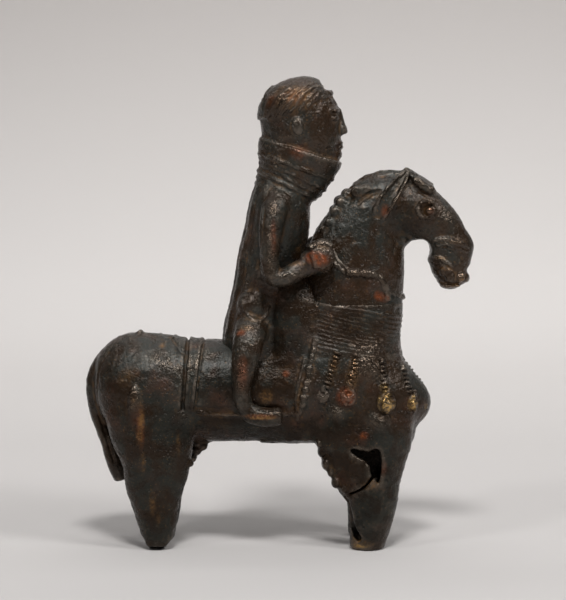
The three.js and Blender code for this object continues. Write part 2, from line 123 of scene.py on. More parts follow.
ARM = [
    [0.4, -5.4, 73.2, 2.6, 2.8], [-0.7, -7.7, 70.8, 2.6, 2.6], [-1.4, -8.8, 66, 2.3, 2.4],
    [-1.4, -9.2, 61.4, 2, 2.2], [-0.8, -9.2, 58.3, 2, 2.2], [1.4, -8.9, 57.8, 2, 2],
    [4.2, -8.4, 59, 2, 1.9], [6.8, -8.1, 60.2, 2, 1.8],
]
HAND = [[6.4, -8, 60.6, 2.3, 1.7], [8.6, -8.2, 61.6, 2.9, 2.1], [10.8, -8, 61.2, 2.4, 1.8]]
LEG = [
    [-5.2, -6.4, 47.4, 3.2, 3], [-5.9, -9.4, 44.4, 3.2, 2.6], [-6.5, -10.9, 40.8, 2.8, 2.2],
    [-7.1, -11.2, 37, 2.1, 1.9], [-7.1, -11.2, 33, 1.8, 1.8], [-5.9, -11.2, 30.2, 1.9, 1.7],
    [-2.8, -11, 29, 2, 1.9], [0.3, -10.8, 29.1, 1.8, 1.9],
]
EAR = [
    [21, -5.3, 70, 1.4, 0.7], [22.4, -5.6, 72.8, 1.9, 1], [24.2, -5.2, 75.6, 1.7, 1],
    [25.9, -4.1, 77.8, 1.2, 0.9], [27.2, -3, 79.4, 0.5, 0.6],
]
HOLE = [
    [15.4, 22.2], [17.6, 21.9], [18.9, 21.6], [20.5, 22.4], [21.5, 21.9], [21.9, 19.4], [21.7, 17.1],
    [21.2, 14.6], [20.4, 16], [19.5, 17], [19.4, 18.3], [18.4, 19.6], [16.6, 20.6], [15.4, 21.5],
]
CRACK = [[19.9, 16.6], [18.5, 14.7], [16.8, 13.5], [14.8, 12.6]]
SLOT = [
    [14, 12.8], [15.2, 10.8], [15.9, 8], [16.4, 5.6], [17.7, 3.4], [17.3, 2.4], [16.2, 3.2], [15.5, 5.6],
    [15.2, 8], [14.5, 10.5],
]


def drawn(table, side=1):
    """The stations in millimetres, in the model's frame. side -1 mirrors them to the left."""
    stations = np.array(table, float) * UNIT
    stations[:, 1] *= side
    stations[:, :3] += GROUND_SHIFT
    return stations


def spot(x, y, z):
    """A point of the drawing, in millimetres."""
    return np.array([x, y, z], float) * UNIT + GROUND_SHIFT


def mirrored(point, side):
    """A point of the right side as it is, or on the left where side is -1."""
    return np.asarray(point, float) * [1, side, 1]


# Spines and sections

def along(stations, places):
    """Values of the stations at the places, on a Catmull-Rom curve."""
    places = np.atleast_1d(np.asarray(places, float))
    last = len(stations) - 1
    cell = np.clip(np.floor(places).astype(int), 0, last - 1)
    t = (places - cell)[:, None]
    a, b, c, d = (stations[np.clip(cell + k, 0, last)] for k in (-1, 0, 1, 2))
    cubic = (3 * b - a - 3 * c + d) * t ** 3
    square = (2 * a - 5 * b + 4 * c - d) * t ** 2
    return (cubic + square + (c - a) * t + 2 * b) / 2


def unit_rows(rows):
    return rows / np.maximum(np.linalg.norm(rows, axis=-1, keepdims=True), 1e-9)


def sections(stations, places):
    """Centres, tangents, sideways and normal directions and half sizes at the places."""
    last = len(stations) - 1
    values = along(stations, places)
    ahead = along(stations, np.clip(places + 0.02, 0, last))[:, :3]
    behind = along(stations, np.clip(places - 0.02, 0, last))[:, :3]
    tangent = unit_rows(ahead - behind)
    side = unit_rows(np.array([0.0, 1.0, 0.0]) - tangent * tangent[:, 1:2])
    normal = np.cross(tangent, side)
    return values[:, :3], tangent, side, normal, values[:, 3], values[:, 4]


def on_skin(stations, places, angles, lift=0.0):
    """Points of a mass's skin, at angles in degrees from its normal towards +Y, raised by lift."""
    centre, _, side, normal, depth, width = sections(stations, np.atleast_1d(np.asarray(places, float)))
    turn = np.radians(np.broadcast_to(angles, depth.shape))
    upright = ((depth + lift) * np.cos(turn))[:, None] * normal
    across = ((width + lift) * np.sin(turn))[:, None] * side
    return centre + upright + across


def place_at_height(stations, angle, z):
    """The place at which the skin of a mass that runs downwards passes the height z, in units."""
    places = np.linspace(0, len(stations) - 1, 400)
    heights = on_skin(stations, places, angle)[:, 2]
    return float(np.interp(-spot(0, 0, z)[2], -heights, places))


EYE_AT = np.array([1.63, -796.66, 168.13])  # the camera, in millimetres
EYE_TILT = math.radians(85)
LENS = 119.28
SENSOR_HEIGHT = 36.0
PICTURE = (566, 600)  # pixels
SEARCHED = (-34.0, 12.0, 0.2)  # y at which a ray is first and last tried, and the step


def rays(pixels):
    """The directions from the camera through pixels of the picture."""
    pixels = np.asarray(pixels, float)
    size = SENSOR_HEIGHT / PICTURE[1]
    across = (pixels[:, 0] - PICTURE[0] / 2) * size
    up = (PICTURE[1] / 2 - pixels[:, 1]) * size
    c, s = math.cos(EYE_TILT), math.sin(EYE_TILT)
    return unit_rows(np.stack([across, up * c + LENS * s, up * s - LENS * c], 1))


def curve_through(points, step):
    """A Catmull-Rom curve through points, with a point about every `step`."""
    points = np.asarray(points, float)
    length = np.linalg.norm(np.diff(points, axis=0), axis=1).sum()
    return along(points, np.linspace(0, len(points) - 1, max(int(length / step), 2) + 1))


def eased(path, rounds=3):
    """The path with its small jumps smoothed away and its ends kept."""
    path = path.copy()
    for _ in range(rounds):
        path[1:-1] = (path[:-2] + 2 * path[1:-1] + path[2:]) / 4
    return path


# Clay

def smooth_least(a, b, blend):
    """The lesser of two distances, with a fillet about `blend` wide where they meet."""
    if blend <= 0:
        return np.minimum(a, b)
    h = np.clip(0.5 + 0.5 * (b - a) / blend, 0, 1)
    return b + (a - b) * h - blend * h * (1 - h)


class Clay:
    """A block of grid points round a form, each with its distance to the form's surface."""

    def __init__(self, low, high, pitch):
        self.low = np.array(low, float)
        self.pitch = pitch
        self.shape = tuple(int(math.ceil((b - a) / pitch)) + 1 for a, b in zip(low, high))
        self.field = np.full(self.shape, FAR, np.float32)
        self.ticks = [self.low[k] + pitch * np.arange(self.shape[k]) for k in range(3)]

    def window(self, low, high):
        """The slices of the block between two corners, and the coordinates in them."""
        first = np.clip(np.floor((low - self.low) / self.pitch).astype(int), 0, self.shape)
        end = np.clip(np.ceil((high - self.low) / self.pitch).astype(int) + 1, 0, self.shape)
        cut = tuple(slice(a, b) for a, b in zip(first, end))
        x, y, z = (self.ticks[k][cut[k]].astype(np.float32) for k in range(3))
        return cut, x[:, None, None], y[None, :, None], z[None, None, :]

    def mass(self, stations, caps=(2.0, 2.0), lift=None, swell=0.0, step=1.0):
        """The distance to one mass: where it is in the block, and its values there."""
        fine = along(stations, np.linspace(0, len(stations) - 1, 200))[:, :3]
        length = np.linalg.norm(np.diff(fine, axis=0), axis=1).sum()
        places = np.linspace(0, len(stations) - 1, max(int(length / step), 3) + 1)
        centre, tangent, side, normal, depth, width = sections(stations, places)
        depth, width = depth + swell, width + swell
        extent = np.abs(normal) * depth[:, None] + np.abs(side) * width[:, None] + MARGIN
        extent[0] += np.abs(tangent[0]) * caps[0]
        extent[-1] += np.abs(tangent[-1]) * caps[1]
        whole = self.window((centre - extent).min(0), (centre + extent).max(0))[0]
        part = np.full([s.stop - s.start for s in whole], FAR, np.float32)
        for a in range(len(places) - 1):
            b = a + 1
            low = np.minimum(centre[a] - extent[a], centre[b] - extent[b])
            high = np.maximum(centre[a] + extent[a], centre[b] + extent[b])
            cut, x, y, z = self.window(low, high)
            inner = tuple(slice(c.start - w.start, c.stop - w.start) for c, w in zip(cut, whole))
            run = centre[b] - centre[a]
            long = float(np.linalg.norm(run))
            ahead = (x - centre[a][0]) * run[0] + (y - centre[a][1]) * run[1] + (z - centre[a][2]) * run[2]
            t = ahead / long ** 2
            near = np.clip(t, 0, 1)
            n = normal[a] + normal[b]
            n = n / np.linalg.norm(n)
            s = np.cross(n, run / long)
            px, py, pz = (v - centre[a][k] - near * run[k] for k, v in enumerate((x, y, z)))
            d = depth[a] + near * (depth[b] - depth[a])
            w = width[a] + near * (width[b] - width[a])
            u = (px * n[0] + py * n[1] + pz * n[2]) / d
            v = (px * s[0] + py * s[1] + pz * s[2]) / w
            over = (t - near) * long
            k0 = u * u + v * v
            k1 = (u / d) ** 2 + (v / w) ** 2
            for end, cap, sign in ((a == 0, caps[0], -1), (b == len(places) - 1, caps[1], 1)):
                if end:
                    reach = max(cap, 0.3)
                    beyond = np.maximum(over * sign, 0) / reach
                    k0 = k0 + beyond ** 2
                    k1 = k1 + (beyond / reach) ** 2
            k0 = np.sqrt(k0)
            k1 = np.sqrt(k1)
            distance = np.where(k1 > 1e-5, k0 * (k0 - 1) / np.maximum(k1, 1e-5), -np.minimum(d, w))
            if lift is not None:
                angle = np.degrees(np.arctan2(v, u))
                distance = distance - lift(places[a] + near * (places[b] - places[a]), angle)
            inside = np.ones_like(distance, bool)
            if a > 0:
                inside &= over > -1.5 * step
            if b < len(places) - 1:
                inside &= over < 1.5 * step
            part[inner] = np.where(inside, np.minimum(part[inner], distance), part[inner])
        return whole, part

    def add(self, stations, blend=1.0, **options):
        cut, part = self.mass(stations, **options)
        self.field[cut] = smooth_least(self.field[cut], part, blend)

    def carve(self, stations, blend=0.4, **options):
        cut, part = self.mass(stations, **options)
        self.field[cut] = -smooth_least(-self.field[cut], part, blend)

    def lump(self, at, size, tilt=0.0, turn=0.0):
        """The distance to an ellipsoid, tilted up in front and then turned to its left, in degrees."""
        at, size = np.asarray(at, float), np.asarray(size, float)
        cut, x, y, z = self.window(at - size.max() - MARGIN, at + size.max() + MARGIN)
        x, y, z = x - at[0], y - at[1], z - at[2]
        c, s = math.cos(math.radians(turn)), math.sin(math.radians(turn))
        x, y = x * c + y * s, y * c - x * s
        c, s = math.cos(math.radians(tilt)), math.sin(math.radians(tilt))
        x, z = x * c + z * s, z * c - x * s
        k0 = np.sqrt((x / size[0]) ** 2 + (y / size[1]) ** 2 + (z / size[2]) ** 2)
        k1 = np.sqrt((x / size[0] ** 2) ** 2 + (y / size[1] ** 2) ** 2 + (z / size[2] ** 2) ** 2)
        return cut, np.where(k1 > 1e-5, k0 * (k0 - 1) / np.maximum(k1, 1e-5), -size.min())

    def press_on(self, at, size, blend=0.6, **turns):
        cut, part = self.lump(at, size, **turns)
        self.field[cut] = smooth_least(self.field[cut], part, blend)

    def press_in(self, at, size, blend=0.4, **turns):
        cut, part = self.lump(at, size, **turns)
        self.field[cut] = -smooth_least(-self.field[cut], part, blend)

    def model(self, shapes, side=1, scale=1.0):
        """Lays lumps on and presses dents in. A shape is its way, place in units, half sizes and blend."""
        for way, at, size, blend in shapes:
            press = self.press_in if way == "in" else self.press_on
            press(mirrored(spot(*at), side), np.array(size) * scale, blend=blend)

    def stud(self, marks, shape, blend, sides=BOTH):
        """Lays a lump on the form at each mark's pixel. shape turns a mark's measures into half sizes."""
        for x, y, *measures in marks:
            for side in sides:
                self.press_on(self.seen([(x, y)], side)[0], shape(*measures), blend=blend)

    def depth_at(self, points):
        """The distance to the form's surface at points, less than nothing inside it."""
        place = (np.asarray(points) - self.low) / self.pitch
        base = np.clip(np.floor(place).astype(int), 0, np.array(self.shape) - 2)
        f = np.clip(place - base, 0, 1)
        total = np.zeros(f.shape[:-1])
        for corner in itertools.product((0, 1), repeat=3):
            c = np.array(corner)
            weight = np.prod(np.where(c == 1, f, 1 - f), axis=-1)
            total += weight * self.field[tuple(np.moveaxis(base + c, -1, 0))]
        return total

    def seen(self, pixels, side=1):
        """Where the camera's rays through pixels meet the form, or pass it closest. side -1 mirrors them."""
        ray = rays(pixels)
        reach = np.arange(*SEARCHED)
        points = EYE_AT + ray[:, None] * ((reach - EYE_AT[1]) / ray[:, None, 1])[..., None]
        depth = self.depth_at(points)
        inside = depth < 0
        first = np.where(inside.any(1), inside.argmax(1), depth.argmin(1))
        rows = np.arange(len(ray))
        before = np.maximum(first - 1, 0)
        a, b = depth[rows, before], depth[rows, first]
        share = np.where((a > 0) & (b < 0), a / np.where(a > b, a - b, 1), 1)[:, None]
        return (points[rows, before] * (1 - share) + points[rows, first] * share) * [1, side, 1]

    def cut_prism(self, outline, blend=0.3):
        """Cuts a hole outwards from the right foot's middle. The outline is x and z, in units."""
        corners = np.array([spot(x, 0, z) for x, z in outline])
        edge, outside, inside = 2, 60, spot(0, FOOT_MIDDLE, 0)[1]
        low, high = corners.min(0) - [edge, outside, edge], corners.max(0) + [edge, inside, edge]
        whole, x, _, z = self.window(low, high)
        x, z = x + 0 * z, z + 0 * x
        least = np.full(x.shape, FAR)
        crossings = np.zeros(x.shape, int)
        for a, b in zip(corners, np.roll(corners, -1, 0)):
            run = b - a
            t = np.clip(((x - a[0]) * run[0] + (z - a[2]) * run[2]) / (run @ run), 0, 1)
            least = np.minimum(least, np.hypot(x - a[0] - t * run[0], z - a[2] - t * run[2]))
            rises = (a[2] > z) != (b[2] > z)
            crossings += rises & (x < a[0] + run[0] * (z - a[2]) / (run[2] or 1e-9))
        part = np.where(crossings % 2 == 1, -least, least)
        part = np.broadcast_to(part, self.field[whole].shape)
        self.field[whole] = -smooth_least(-self.field[whole], part, blend)

    def stand(self):
        """Cuts the form off flat at the ground."""
        self.field = np.maximum(self.field, -self.ticks[2].astype(np.float32))

    def skin(self):
        """The form's surface: a point in each cell that it passes through, and four-sided faces."""
        field = self.field
        for axis in range(3):
            for edge in (0, -1):
                border = np.moveaxis(field, axis, 0)[edge]
                np.maximum(border, self.pitch / 2, out=border)
        inside = field < 0
        cells = [n - 1 for n in self.shape]
        corners = list(itertools.product((0, 1), repeat=3))

        def at(corner, block):
            return block[tuple(slice(c, c + n) for c, n in zip(corner, cells))]

        filled = sum(at(c, inside).astype(np.int8) for c in corners)
        active = (filled > 0) & (filled < 8)
        number = np.full(cells, -1, np.int64)
        number[active] = np.arange(active.sum())
        where = np.argwhere(active)
        values = {c: at(c, field)[active].astype(float) for c in corners}
        total = np.zeros((len(where), 3))
        hits = np.zeros(len(where))
        for a, b in itertools.combinations(corners, 2):
            if sum(abs(p - q) for p, q in zip(a, b)) != 1:
                continue
            crossed = (values[a] < 0) != (values[b] < 0)
            share = np.where(crossed, values[a] / np.where(crossed, values[a] - values[b], 1), 0)
            total += crossed[:, None] * (np.array(a) + share[:, None] * (np.array(b) - np.array(a)))
            hits += crossed
        points = self.low + self.pitch * (where + total / hits[:, None])
        faces = []
        for axis in range(3):
            u, v = [k for k in range(3) if k != axis]
            low = [slice(None)] * 3
            high = [slice(None)] * 3
            low[axis], high[axis] = slice(0, -1), slice(1, None)
            starts, ends = inside[tuple(low)], inside[tuple(high)]
            i = np.argwhere(starts != ends)
            i = i[(i[:, u] > 0) & (i[:, v] > 0) & (i[:, u] < cells[u]) & (i[:, v] < cells[v])]
            out = starts[tuple(i.T)]
            ring = []
            for du, dv in ((1, 1), (0, 1), (0, 0), (1, 0)):
                j = i.copy()
                j[:, u] -= du
                j[:, v] -= dv
                ring.append(number[tuple(j.T)])
            ring = np.stack(ring, 1)
            flip = out if axis != 1 else ~out
            ring[~flip] = ring[~flip][:, ::-1]
            faces.append(ring)
        return points, np.concatenate(faces)


# Meshes

def in_scene(name, data):
    """A new object with that data, in the scene."""
    holder = bpy.data.objects.new(name, data)
    bpy.context.scene.collection.objects.link(holder)
    return holder


def mesh_piece(name, points, faces):
    """An object at the origin, from points in millimetres and faces of one size."""
    sides = faces.shape[1]
    mesh = bpy.data.meshes.new(name)
    mesh.vertices.add(len(points))
    mesh.vertices.foreach_set("co", (points * MM).astype(np.float32).ravel())
    mesh.loops.add(faces.size)
    mesh.loops.foreach_set("vertex_index", faces.astype(np.int32).ravel())
    mesh.polygons.add(len(faces))
    mesh.polygons.foreach_set("loop_start", np.arange(0, faces.size, sides, dtype=np.int32))
    mesh.update(calc_edges=True)
    return in_scene(name, mesh)


def result_of(holder):
    """The points, triangles and edges of an object with its modifiers, and the object is taken away."""
    depsgraph = bpy.context.evaluated_depsgraph_get()
    mesh = bpy.data.meshes.new_from_object(holder.evaluated_get(depsgraph))
    points = np.empty(len(mesh.vertices) * 3, np.float32)
    mesh.vertices.foreach_get("co", points)
    mesh.calc_loop_triangles()
    triangles = np.empty(len(mesh.loop_triangles) * 3, np.int32)
    mesh.loop_triangles.foreach_get("vertices", triangles)
    edges = np.empty(len(mesh.edges) * 2, np.int32)
    mesh.edges.foreach_get("vertices", edges)
    source = holder.data
    bpy.data.objects.remove(holder)
    bpy.data.meshes.remove(source)
    bpy.data.meshes.remove(mesh)
    return points.reshape(-1, 3).astype(float) / MM, triangles.reshape(-1, 3), edges.reshape(-1, 2)


def melted(parts, grain):
    """One closed skin round all the parts, with faces about `grain` wide."""
    points, triangles, count = [], [], 0
    for part_points, part_faces in parts:
        if part_faces.shape[1] == 4:
            part_faces = np.concatenate([part_faces[:, [0, 1, 2]], part_faces[:, [0, 2, 3]]])
        points.append(part_points)
        triangles.append(part_faces + count)
        count += len(part_points)
    lump = mesh_piece("lump", np.concatenate(points), np.concatenate(triangles))
    melt = lump.modifiers.new("melt", "REMESH")
    melt.mode = "VOXEL"
    melt.voxel_size = grain * MM
    return result_of(lump)


SMOOTHING = (0.5, -0.52)  # the share by which points draw together, and then move apart again


def relaxed(points, edges, rounds):
    """The points with small steps smoothed away and the volume kept."""
    a, b = edges.T
    count = len(points)
    share = 1 / np.maximum(np.bincount(a, minlength=count) + np.bincount(b, minlength=count), 1)
    for pull in SMOOTHING * rounds:
        near = [np.bincount(a, points[b, k], count) + np.bincount(b, points[a, k], count) for k in range(3)]
        points = points + pull * (np.stack(near, 1) * share[:, None] - points)
    return points


def face_sums(count, triangles, values):
    """For each point, the sum of its triangles' values. Values are one row for each triangle."""
    return np.stack([
        sum(np.bincount(triangles[:, corner], column, count) for corner in range(3)) for column in values.T
    ], 1)


def normals_of(points, triangles):
    """Each point's outward direction and the area round it."""
    p, q, r = (points[triangles[:, k]] for k in range(3))
    cross = np.cross(q - p, r - p)
    third = np.linalg.norm(cross, axis=1) / 6
    area = face_sums(len(points), triangles, third[:, None])[:, 0]
    return unit_rows(face_sums(len(points), triangles, cross)), area


def scatter(cells, seed):
    """A fixed random whole number from 0 to 4095 for each cell of a lattice."""
    x, y, z = (cells[..., k].astype(np.int64) for k in range(3))
    mixed = (x * 73856093) ^ (y * 19349663) ^ (z * 83492791) ^ (seed * 2654435761)
    mixed = (mixed ^ (mixed >> 13)) * 1274126177
    return (mixed ^ (mixed >> 16)) & 4095


CHANCES = 4096
DIRECTIONS = unit_rows(np.random.default_rng(7).normal(size=(CHANCES, 3)))
OFFSETS = np.random.default_rng(8).random((CHANCES, 4))


def ripple(points, size, seed):
    """Smooth noise from about -1 to 1, with waves about `size` millimetres long."""
    place = points / size + seed * 17.31
    cell = np.floor(place).astype(np.int64)
    f = place - cell
    ease = f ** 3 * (f * (f * 6 - 15) + 10)
    total = np.zeros(len(points))
    for corner in itertools.product((0, 1), repeat=3):
        c = np.array(corner)
        direction = DIRECTIONS[scatter(cell + c, seed)]
        weight = np.prod(np.where(c == 1, ease, 1 - ease), axis=1)
        total += weight * ((f - c) * direction).sum(1)
    return total * 1.6


SPOT_LEAST, SPOT_MORE, SPOT_MOST = 0.25, 0.45, 0.7  # a spot's radius, as shares of its cell


def pocks(points, size, share, seed):
    """From 0 to 1, round spots: 1 in a spot's middle. One cell of `size` in 1 / share has a spot."""
    place = points / size + seed * 5.7
    cell = np.floor(place).astype(np.int64)
    deepest = np.zeros(len(points))
    for step in itertools.product((-1, 0, 1), repeat=3):
        near = cell + np.array(step)
        key = scatter(near, seed)
        spot_at = near + OFFSETS[key, :3]
        radius = SPOT_LEAST + SPOT_MORE * OFFSETS[key, 3]
        away = np.linalg.norm(place - spot_at, axis=1) / radius
        depth = np.clip(1 - away ** 2, 0, 1) * radius / SPOT_MOST
        deepest = np.maximum(deepest, np.where((key % 97) / 97 < share, depth, 0))
    return deepest


def blurred(block, reach):
    """The block of numbers, spread along its first three axes over about `reach` cells."""
    width = int(math.ceil(2.5 * reach))
    kernel = np.exp(-0.5 * (np.arange(-width, width + 1) / reach) ** 2)
    kernel /= kernel.sum()
    for axis in range(3):
        spread = np.zeros_like(block)
        for shift, weight in zip(range(-width, width + 1), kernel):
            spread += weight * np.roll(block, shift, axis)
        block = spread
    return block


def hollowness(points, normals, area, reach):
    """How deep each point lies in the surface round it: 1 in a sharp groove, -1 on a sharp ridge."""
    cell = reach / 2
    pad = 8
    low = points.min(0) - pad * cell
    shape = np.ceil((points.max(0) - low) / cell).astype(int) + pad
    index = np.floor((points - low) / cell).astype(int)
    flat = np.ravel_multi_index(index.T, shape)
    channels = [area] + [area * points[:, k] for k in range(3)]
    block = np.stack([np.bincount(flat, c, int(np.prod(shape))).reshape(shape) for c in channels], -1)
    block = blurred(block, 1.4)
    place = (points - low) / cell - 0.5
    base = np.floor(place).astype(int)
    f = place - base
    total = np.zeros((len(points), 4))
    for corner in itertools.product((0, 1), repeat=3):
        c = np.array(corner)
        weight = np.prod(np.where(c == 1, f, 1 - f), axis=1)
        total += weight[:, None] * block[tuple((base + c).T)]
    middle = total[:, 1:] / np.maximum(total[:, :1], 1e-9)
    return ((middle - points) * normals).sum(1) / (0.35 * reach)


def fewer(points, triangles, most):
    """The same form with at most that many triangles."""
    if len(triangles) <= most:
        return points, triangles
    holder = mesh_piece("fine", points, triangles)
    thin = holder.modifiers.new("thin", "DECIMATE")
    thin.ratio = most / len(triangles)
    points, triangles, _ = result_of(holder)
    return points, triangles


# Node trees

def add_node(tree, kind, values=None, **settings):
    """A node in a tree. Values are numbers or other nodes' outputs, by input name or number."""
    node = tree.nodes.new(kind)
    for name, setting in settings.items():
        setattr(node, name, setting)
    for key, value in (values or {}).items():
        by_id = [s for s in node.inputs if s.identifier == key]
        socket = node.inputs[key] if isinstance(key, int) or not by_id else by_id[0]
        if isinstance(value, bpy.types.NodeSocket):
            tree.links.new(value, socket)
        else:
            socket.default_value = value
    return node


def new_tree(name, kind, inputs, outputs):
    """A group with named inputs and outputs: the group, a way to add nodes, its inputs and its result."""
    group = bpy.data.node_groups.new(name, kind)
    for direction, sockets in (("INPUT", inputs), ("OUTPUT", outputs)):
        for label, socket_type, *value in sockets:
            socket = group.interface.new_socket(label, in_out=direction, socket_type=socket_type)
            if value:
                socket.default_value = value[0]
    add = functools.partial(add_node, group)
    return group, add, add("NodeGroupInput").outputs, add("NodeGroupOutput")


def cord_tree():
    """A cord along a path: strands laid round each other, thick as the path's `thick` says."""
    group, add, given, result = new_tree("cord", "GeometryNodeTree", [
        ("Path", "NodeSocketGeometry"),
        ("Strands", "NodeSocketInt", 3),
        ("Furrow", "NodeSocketFloat", 0.25),
        ("Turns per metre", "NodeSocketFloat", 120.0),
        ("Step", "NodeSocketFloat", 0.0006),
        ("Wander", "NodeSocketFloat", 0.0002),
        ("Seed", "NodeSocketFloat", 1.0),
        ("Material", "NodeSocketMaterial"),
    ], [("Geometry", "NodeSocketGeometry")])

    curve = add("GeometryNodeMeshToCurve", {"Mesh": given["Path"]})
    steps = {"Curve": curve.outputs[0], "Length": given["Step"]}
    even = add("GeometryNodeResampleCurve", steps, mode="LENGTH")
    waves = {"W": given["Seed"], "Scale": 260.0, "Detail": 1.0}
    wave = add("ShaderNodeTexNoise", waves, noise_dimensions="4D").outputs["Color"]
    centred = add("ShaderNodeVectorMath", {0: wave, 1: (0.5, 0.5, 0.5)}, operation="SUBTRACT")
    shift = add("ShaderNodeVectorMath", {0: centred.outputs[0], "Scale": given["Wander"]}, operation="SCALE")
    laid = add("GeometryNodeSetPosition", {"Geometry": even.outputs[0], "Offset": shift.outputs[0]})
    length = add("GeometryNodeSplineParameter").outputs["Length"]
    turns = add("ShaderNodeMath", {0: length, 1: given["Turns per metre"]}, operation="MULTIPLY")
    tilt = add("ShaderNodeMath", {0: turns.outputs[0], 1: 2 * math.pi}, operation="MULTIPLY")
    turned = add("GeometryNodeSetCurveTilt", {"Curve": laid.outputs[0], "Tilt": tilt.outputs[0]})
    inner = add("ShaderNodeMath", {0: 1.0, 1: given["Furrow"]}, operation="SUBTRACT")
    strands = add("GeometryNodeCurveStar", {
        "Points": given["Strands"], "Inner Radius": inner.outputs[0], "Outer Radius": 1.0,
    })
    thick = add("GeometryNodeInputNamedAttribute", {"Name": "thick"})
    solid = add("GeometryNodeCurveToMesh", {
        "Curve": turned.outputs[0], "Profile Curve": strands.outputs[0], "Scale": thick.outputs[0],
        "Fill Caps": True,
    })
    real = add("GeometryNodeRealizeInstances", {"Geometry": solid.outputs[0]})
    dressed = add("GeometryNodeSetMaterial", {"Geometry": real.outputs[0], "Material": given["Material"]})
    group.links.new(dressed.outputs[0], result.inputs[0])
    return group


BEAD = {"Vertices": 20, "Radius": 1.0, "Depth": 1.6}  # in the path's thickness
BEAD_LEAN = {"Min": (-0.1, -0.1, -3.0), "Max": (0.1, 0.1, 3.0)}  # radians


def coil_tree():
    """Coils threaded on a path: flat beads, each turned and sized a little differently."""
    group, add, given, result = new_tree("coils", "GeometryNodeTree", [
        ("Path", "NodeSocketGeometry"),
        ("Spacing", "NodeSocketFloat", 0.0017),
        ("Flatness", "NodeSocketFloat", 0.5),
        ("Unevenness", "NodeSocketFloat", 0.15),
        ("Seed", "NodeSocketInt", 1),
        ("Material", "NodeSocketMaterial"),
    ], [("Geometry", "NodeSocketGeometry")])

    curve = add("GeometryNodeMeshToCurve", {"Mesh": given["Path"]})
    steps = {"Curve": curve.outputs[0], "Length": given["Spacing"]}
    places = add("GeometryNodeCurveToPoints", steps, mode="LENGTH")
    bead = add("GeometryNodeMeshCylinder", BEAD)
    lean = add("FunctionNodeRandomValue", {**BEAD_LEAN, "Seed": given["Seed"]}, data_type="FLOAT_VECTOR")
    angle = add("FunctionNodeRotateRotation", {
        "Rotation": places.outputs["Rotation"], "Rotate By": lean.outputs[0],
    }, rotation_space="LOCAL")
    least = add("ShaderNodeMath", {0: 1.0, 1: given["Unevenness"]}, operation="SUBTRACT")
    most = add("ShaderNodeMath", {0: 1.0, 1: given["Unevenness"]}, operation="ADD")
    vary = add("FunctionNodeRandomValue", {
        "Min_001": least.outputs[0], "Max_001": most.outputs[0], "Seed": given["Seed"],
    })
    thick = add("GeometryNodeInputNamedAttribute", {"Name": "thick"})
    size = add("ShaderNodeMath", {0: vary.outputs[1], 1: thick.outputs[0]}, operation="MULTIPLY")
    flat = add("ShaderNodeCombineXYZ", {0: 1.0, 1: 1.0, 2: given["Flatness"]})
    scale = add("ShaderNodeVectorMath", {0: flat.outputs[0], "Scale": size.outputs[0]}, operation="SCALE")
    beads = add("GeometryNodeInstanceOnPoints", {
        "Points": places.outputs[0], "Instance": bead.outputs[0], "Rotation": angle.outputs[0],
        "Scale": scale.outputs[0],
    })
    real = add("GeometryNodeRealizeInstances", {"Geometry": beads.outputs[0]})
    dressed = add("GeometryNodeSetMaterial", {"Geometry": real.outputs[0], "Material": given["Material"]})
    group.links.new(dressed.outputs[0], result.inputs[0])
    return group


def grown(tree, paths, **inputs):
    """The points and triangles that a tree makes of paths. Each path comes with its thickness."""
    points = np.concatenate([path for path, _ in paths])
    thick = np.concatenate([np.broadcast_to(np.asarray(t, float), len(path)) for path, t in paths])
    edges, count = [], 0
    for path, _ in paths:
        run = np.arange(count, count + len(path))
        edges.append(np.stack([run[:-1], run[1:]], 1))
        count += len(path)
    mesh = bpy.data.meshes.new(tree.name)
    mesh.from_pydata((points * MM).tolist(), np.concatenate(edges).tolist(), [])
    mesh.attributes.new("thick", "FLOAT", "POINT").data.foreach_set("value", (thick * MM).astype(np.float32))
    holder = in_scene(tree.name, mesh)
    modifier = holder.modifiers.new(tree.name, "NODES")
    modifier.node_group = tree
    inputs["Material"] = bronze
    for label, value in inputs.items():
        modifier[tree.interface.items_tree[label.replace("_", " ")].identifier] = value
    made, triangles, _ = result_of(holder)
    return made, triangles


# The horse

def place_at(stations, x):
    """The place of a mass that runs forwards at which its spine passes x, in units."""
    return float(np.interp(spot(x, 0, 0)[0], stations[:, 0], np.arange(len(stations))))


def over_back(x_top, x_low, reach):
    """A path over the back, from x_top at the spine to x_low at its two ends, in units."""
    stations = drawn(TRUNK)
    angles = np.arange(-reach, reach + 1, 4.0)
    x = x_top + (x_low - x_top) * np.abs(angles) / reach
    places = [place_at(stations, value) for value in x]
    return on_skin(stations, np.array(places), angles)


def laid(clay, pixels, step=3.0, sides=BOTH):
    """Paths on the form through pixels of the picture, on its right side and mirrored on its left."""
    line = curve_through(pixels, step)
    return [eased(clay.seen(line, side)) for side in sides]


def grooved(clay, pixels, width, depth, sides=BOTH):
    """Scores a line into the form, through pixels of the picture."""
    for path in laid(clay, pixels, 2.0, sides):
        for at in path[::max(int(width / 0.8), 1)]:
            clay.press_in(at, (width, depth, width), blend=0.3)


CLOTH_ENDS = (-19.3, 7)  # x of its rear and front edges, in units
CLOTH_THICK = 0.45
CLOTH_HEM = 103  # degrees from the back's middle
BREAST = [("on", (24.9, 0, 30.8), (7.7, 6.6, 6.6), 2), ("on", (22.6, 0, 24.7), (6.8, 6, 6.2), 2)]
SHOULDER = [("on", (12.5, -8.6, 25.6), (5, 2.6, 5.2), 2), ("on", (21.5, -7.6, 24), (4.6, 3.2, 5.4), 2)]


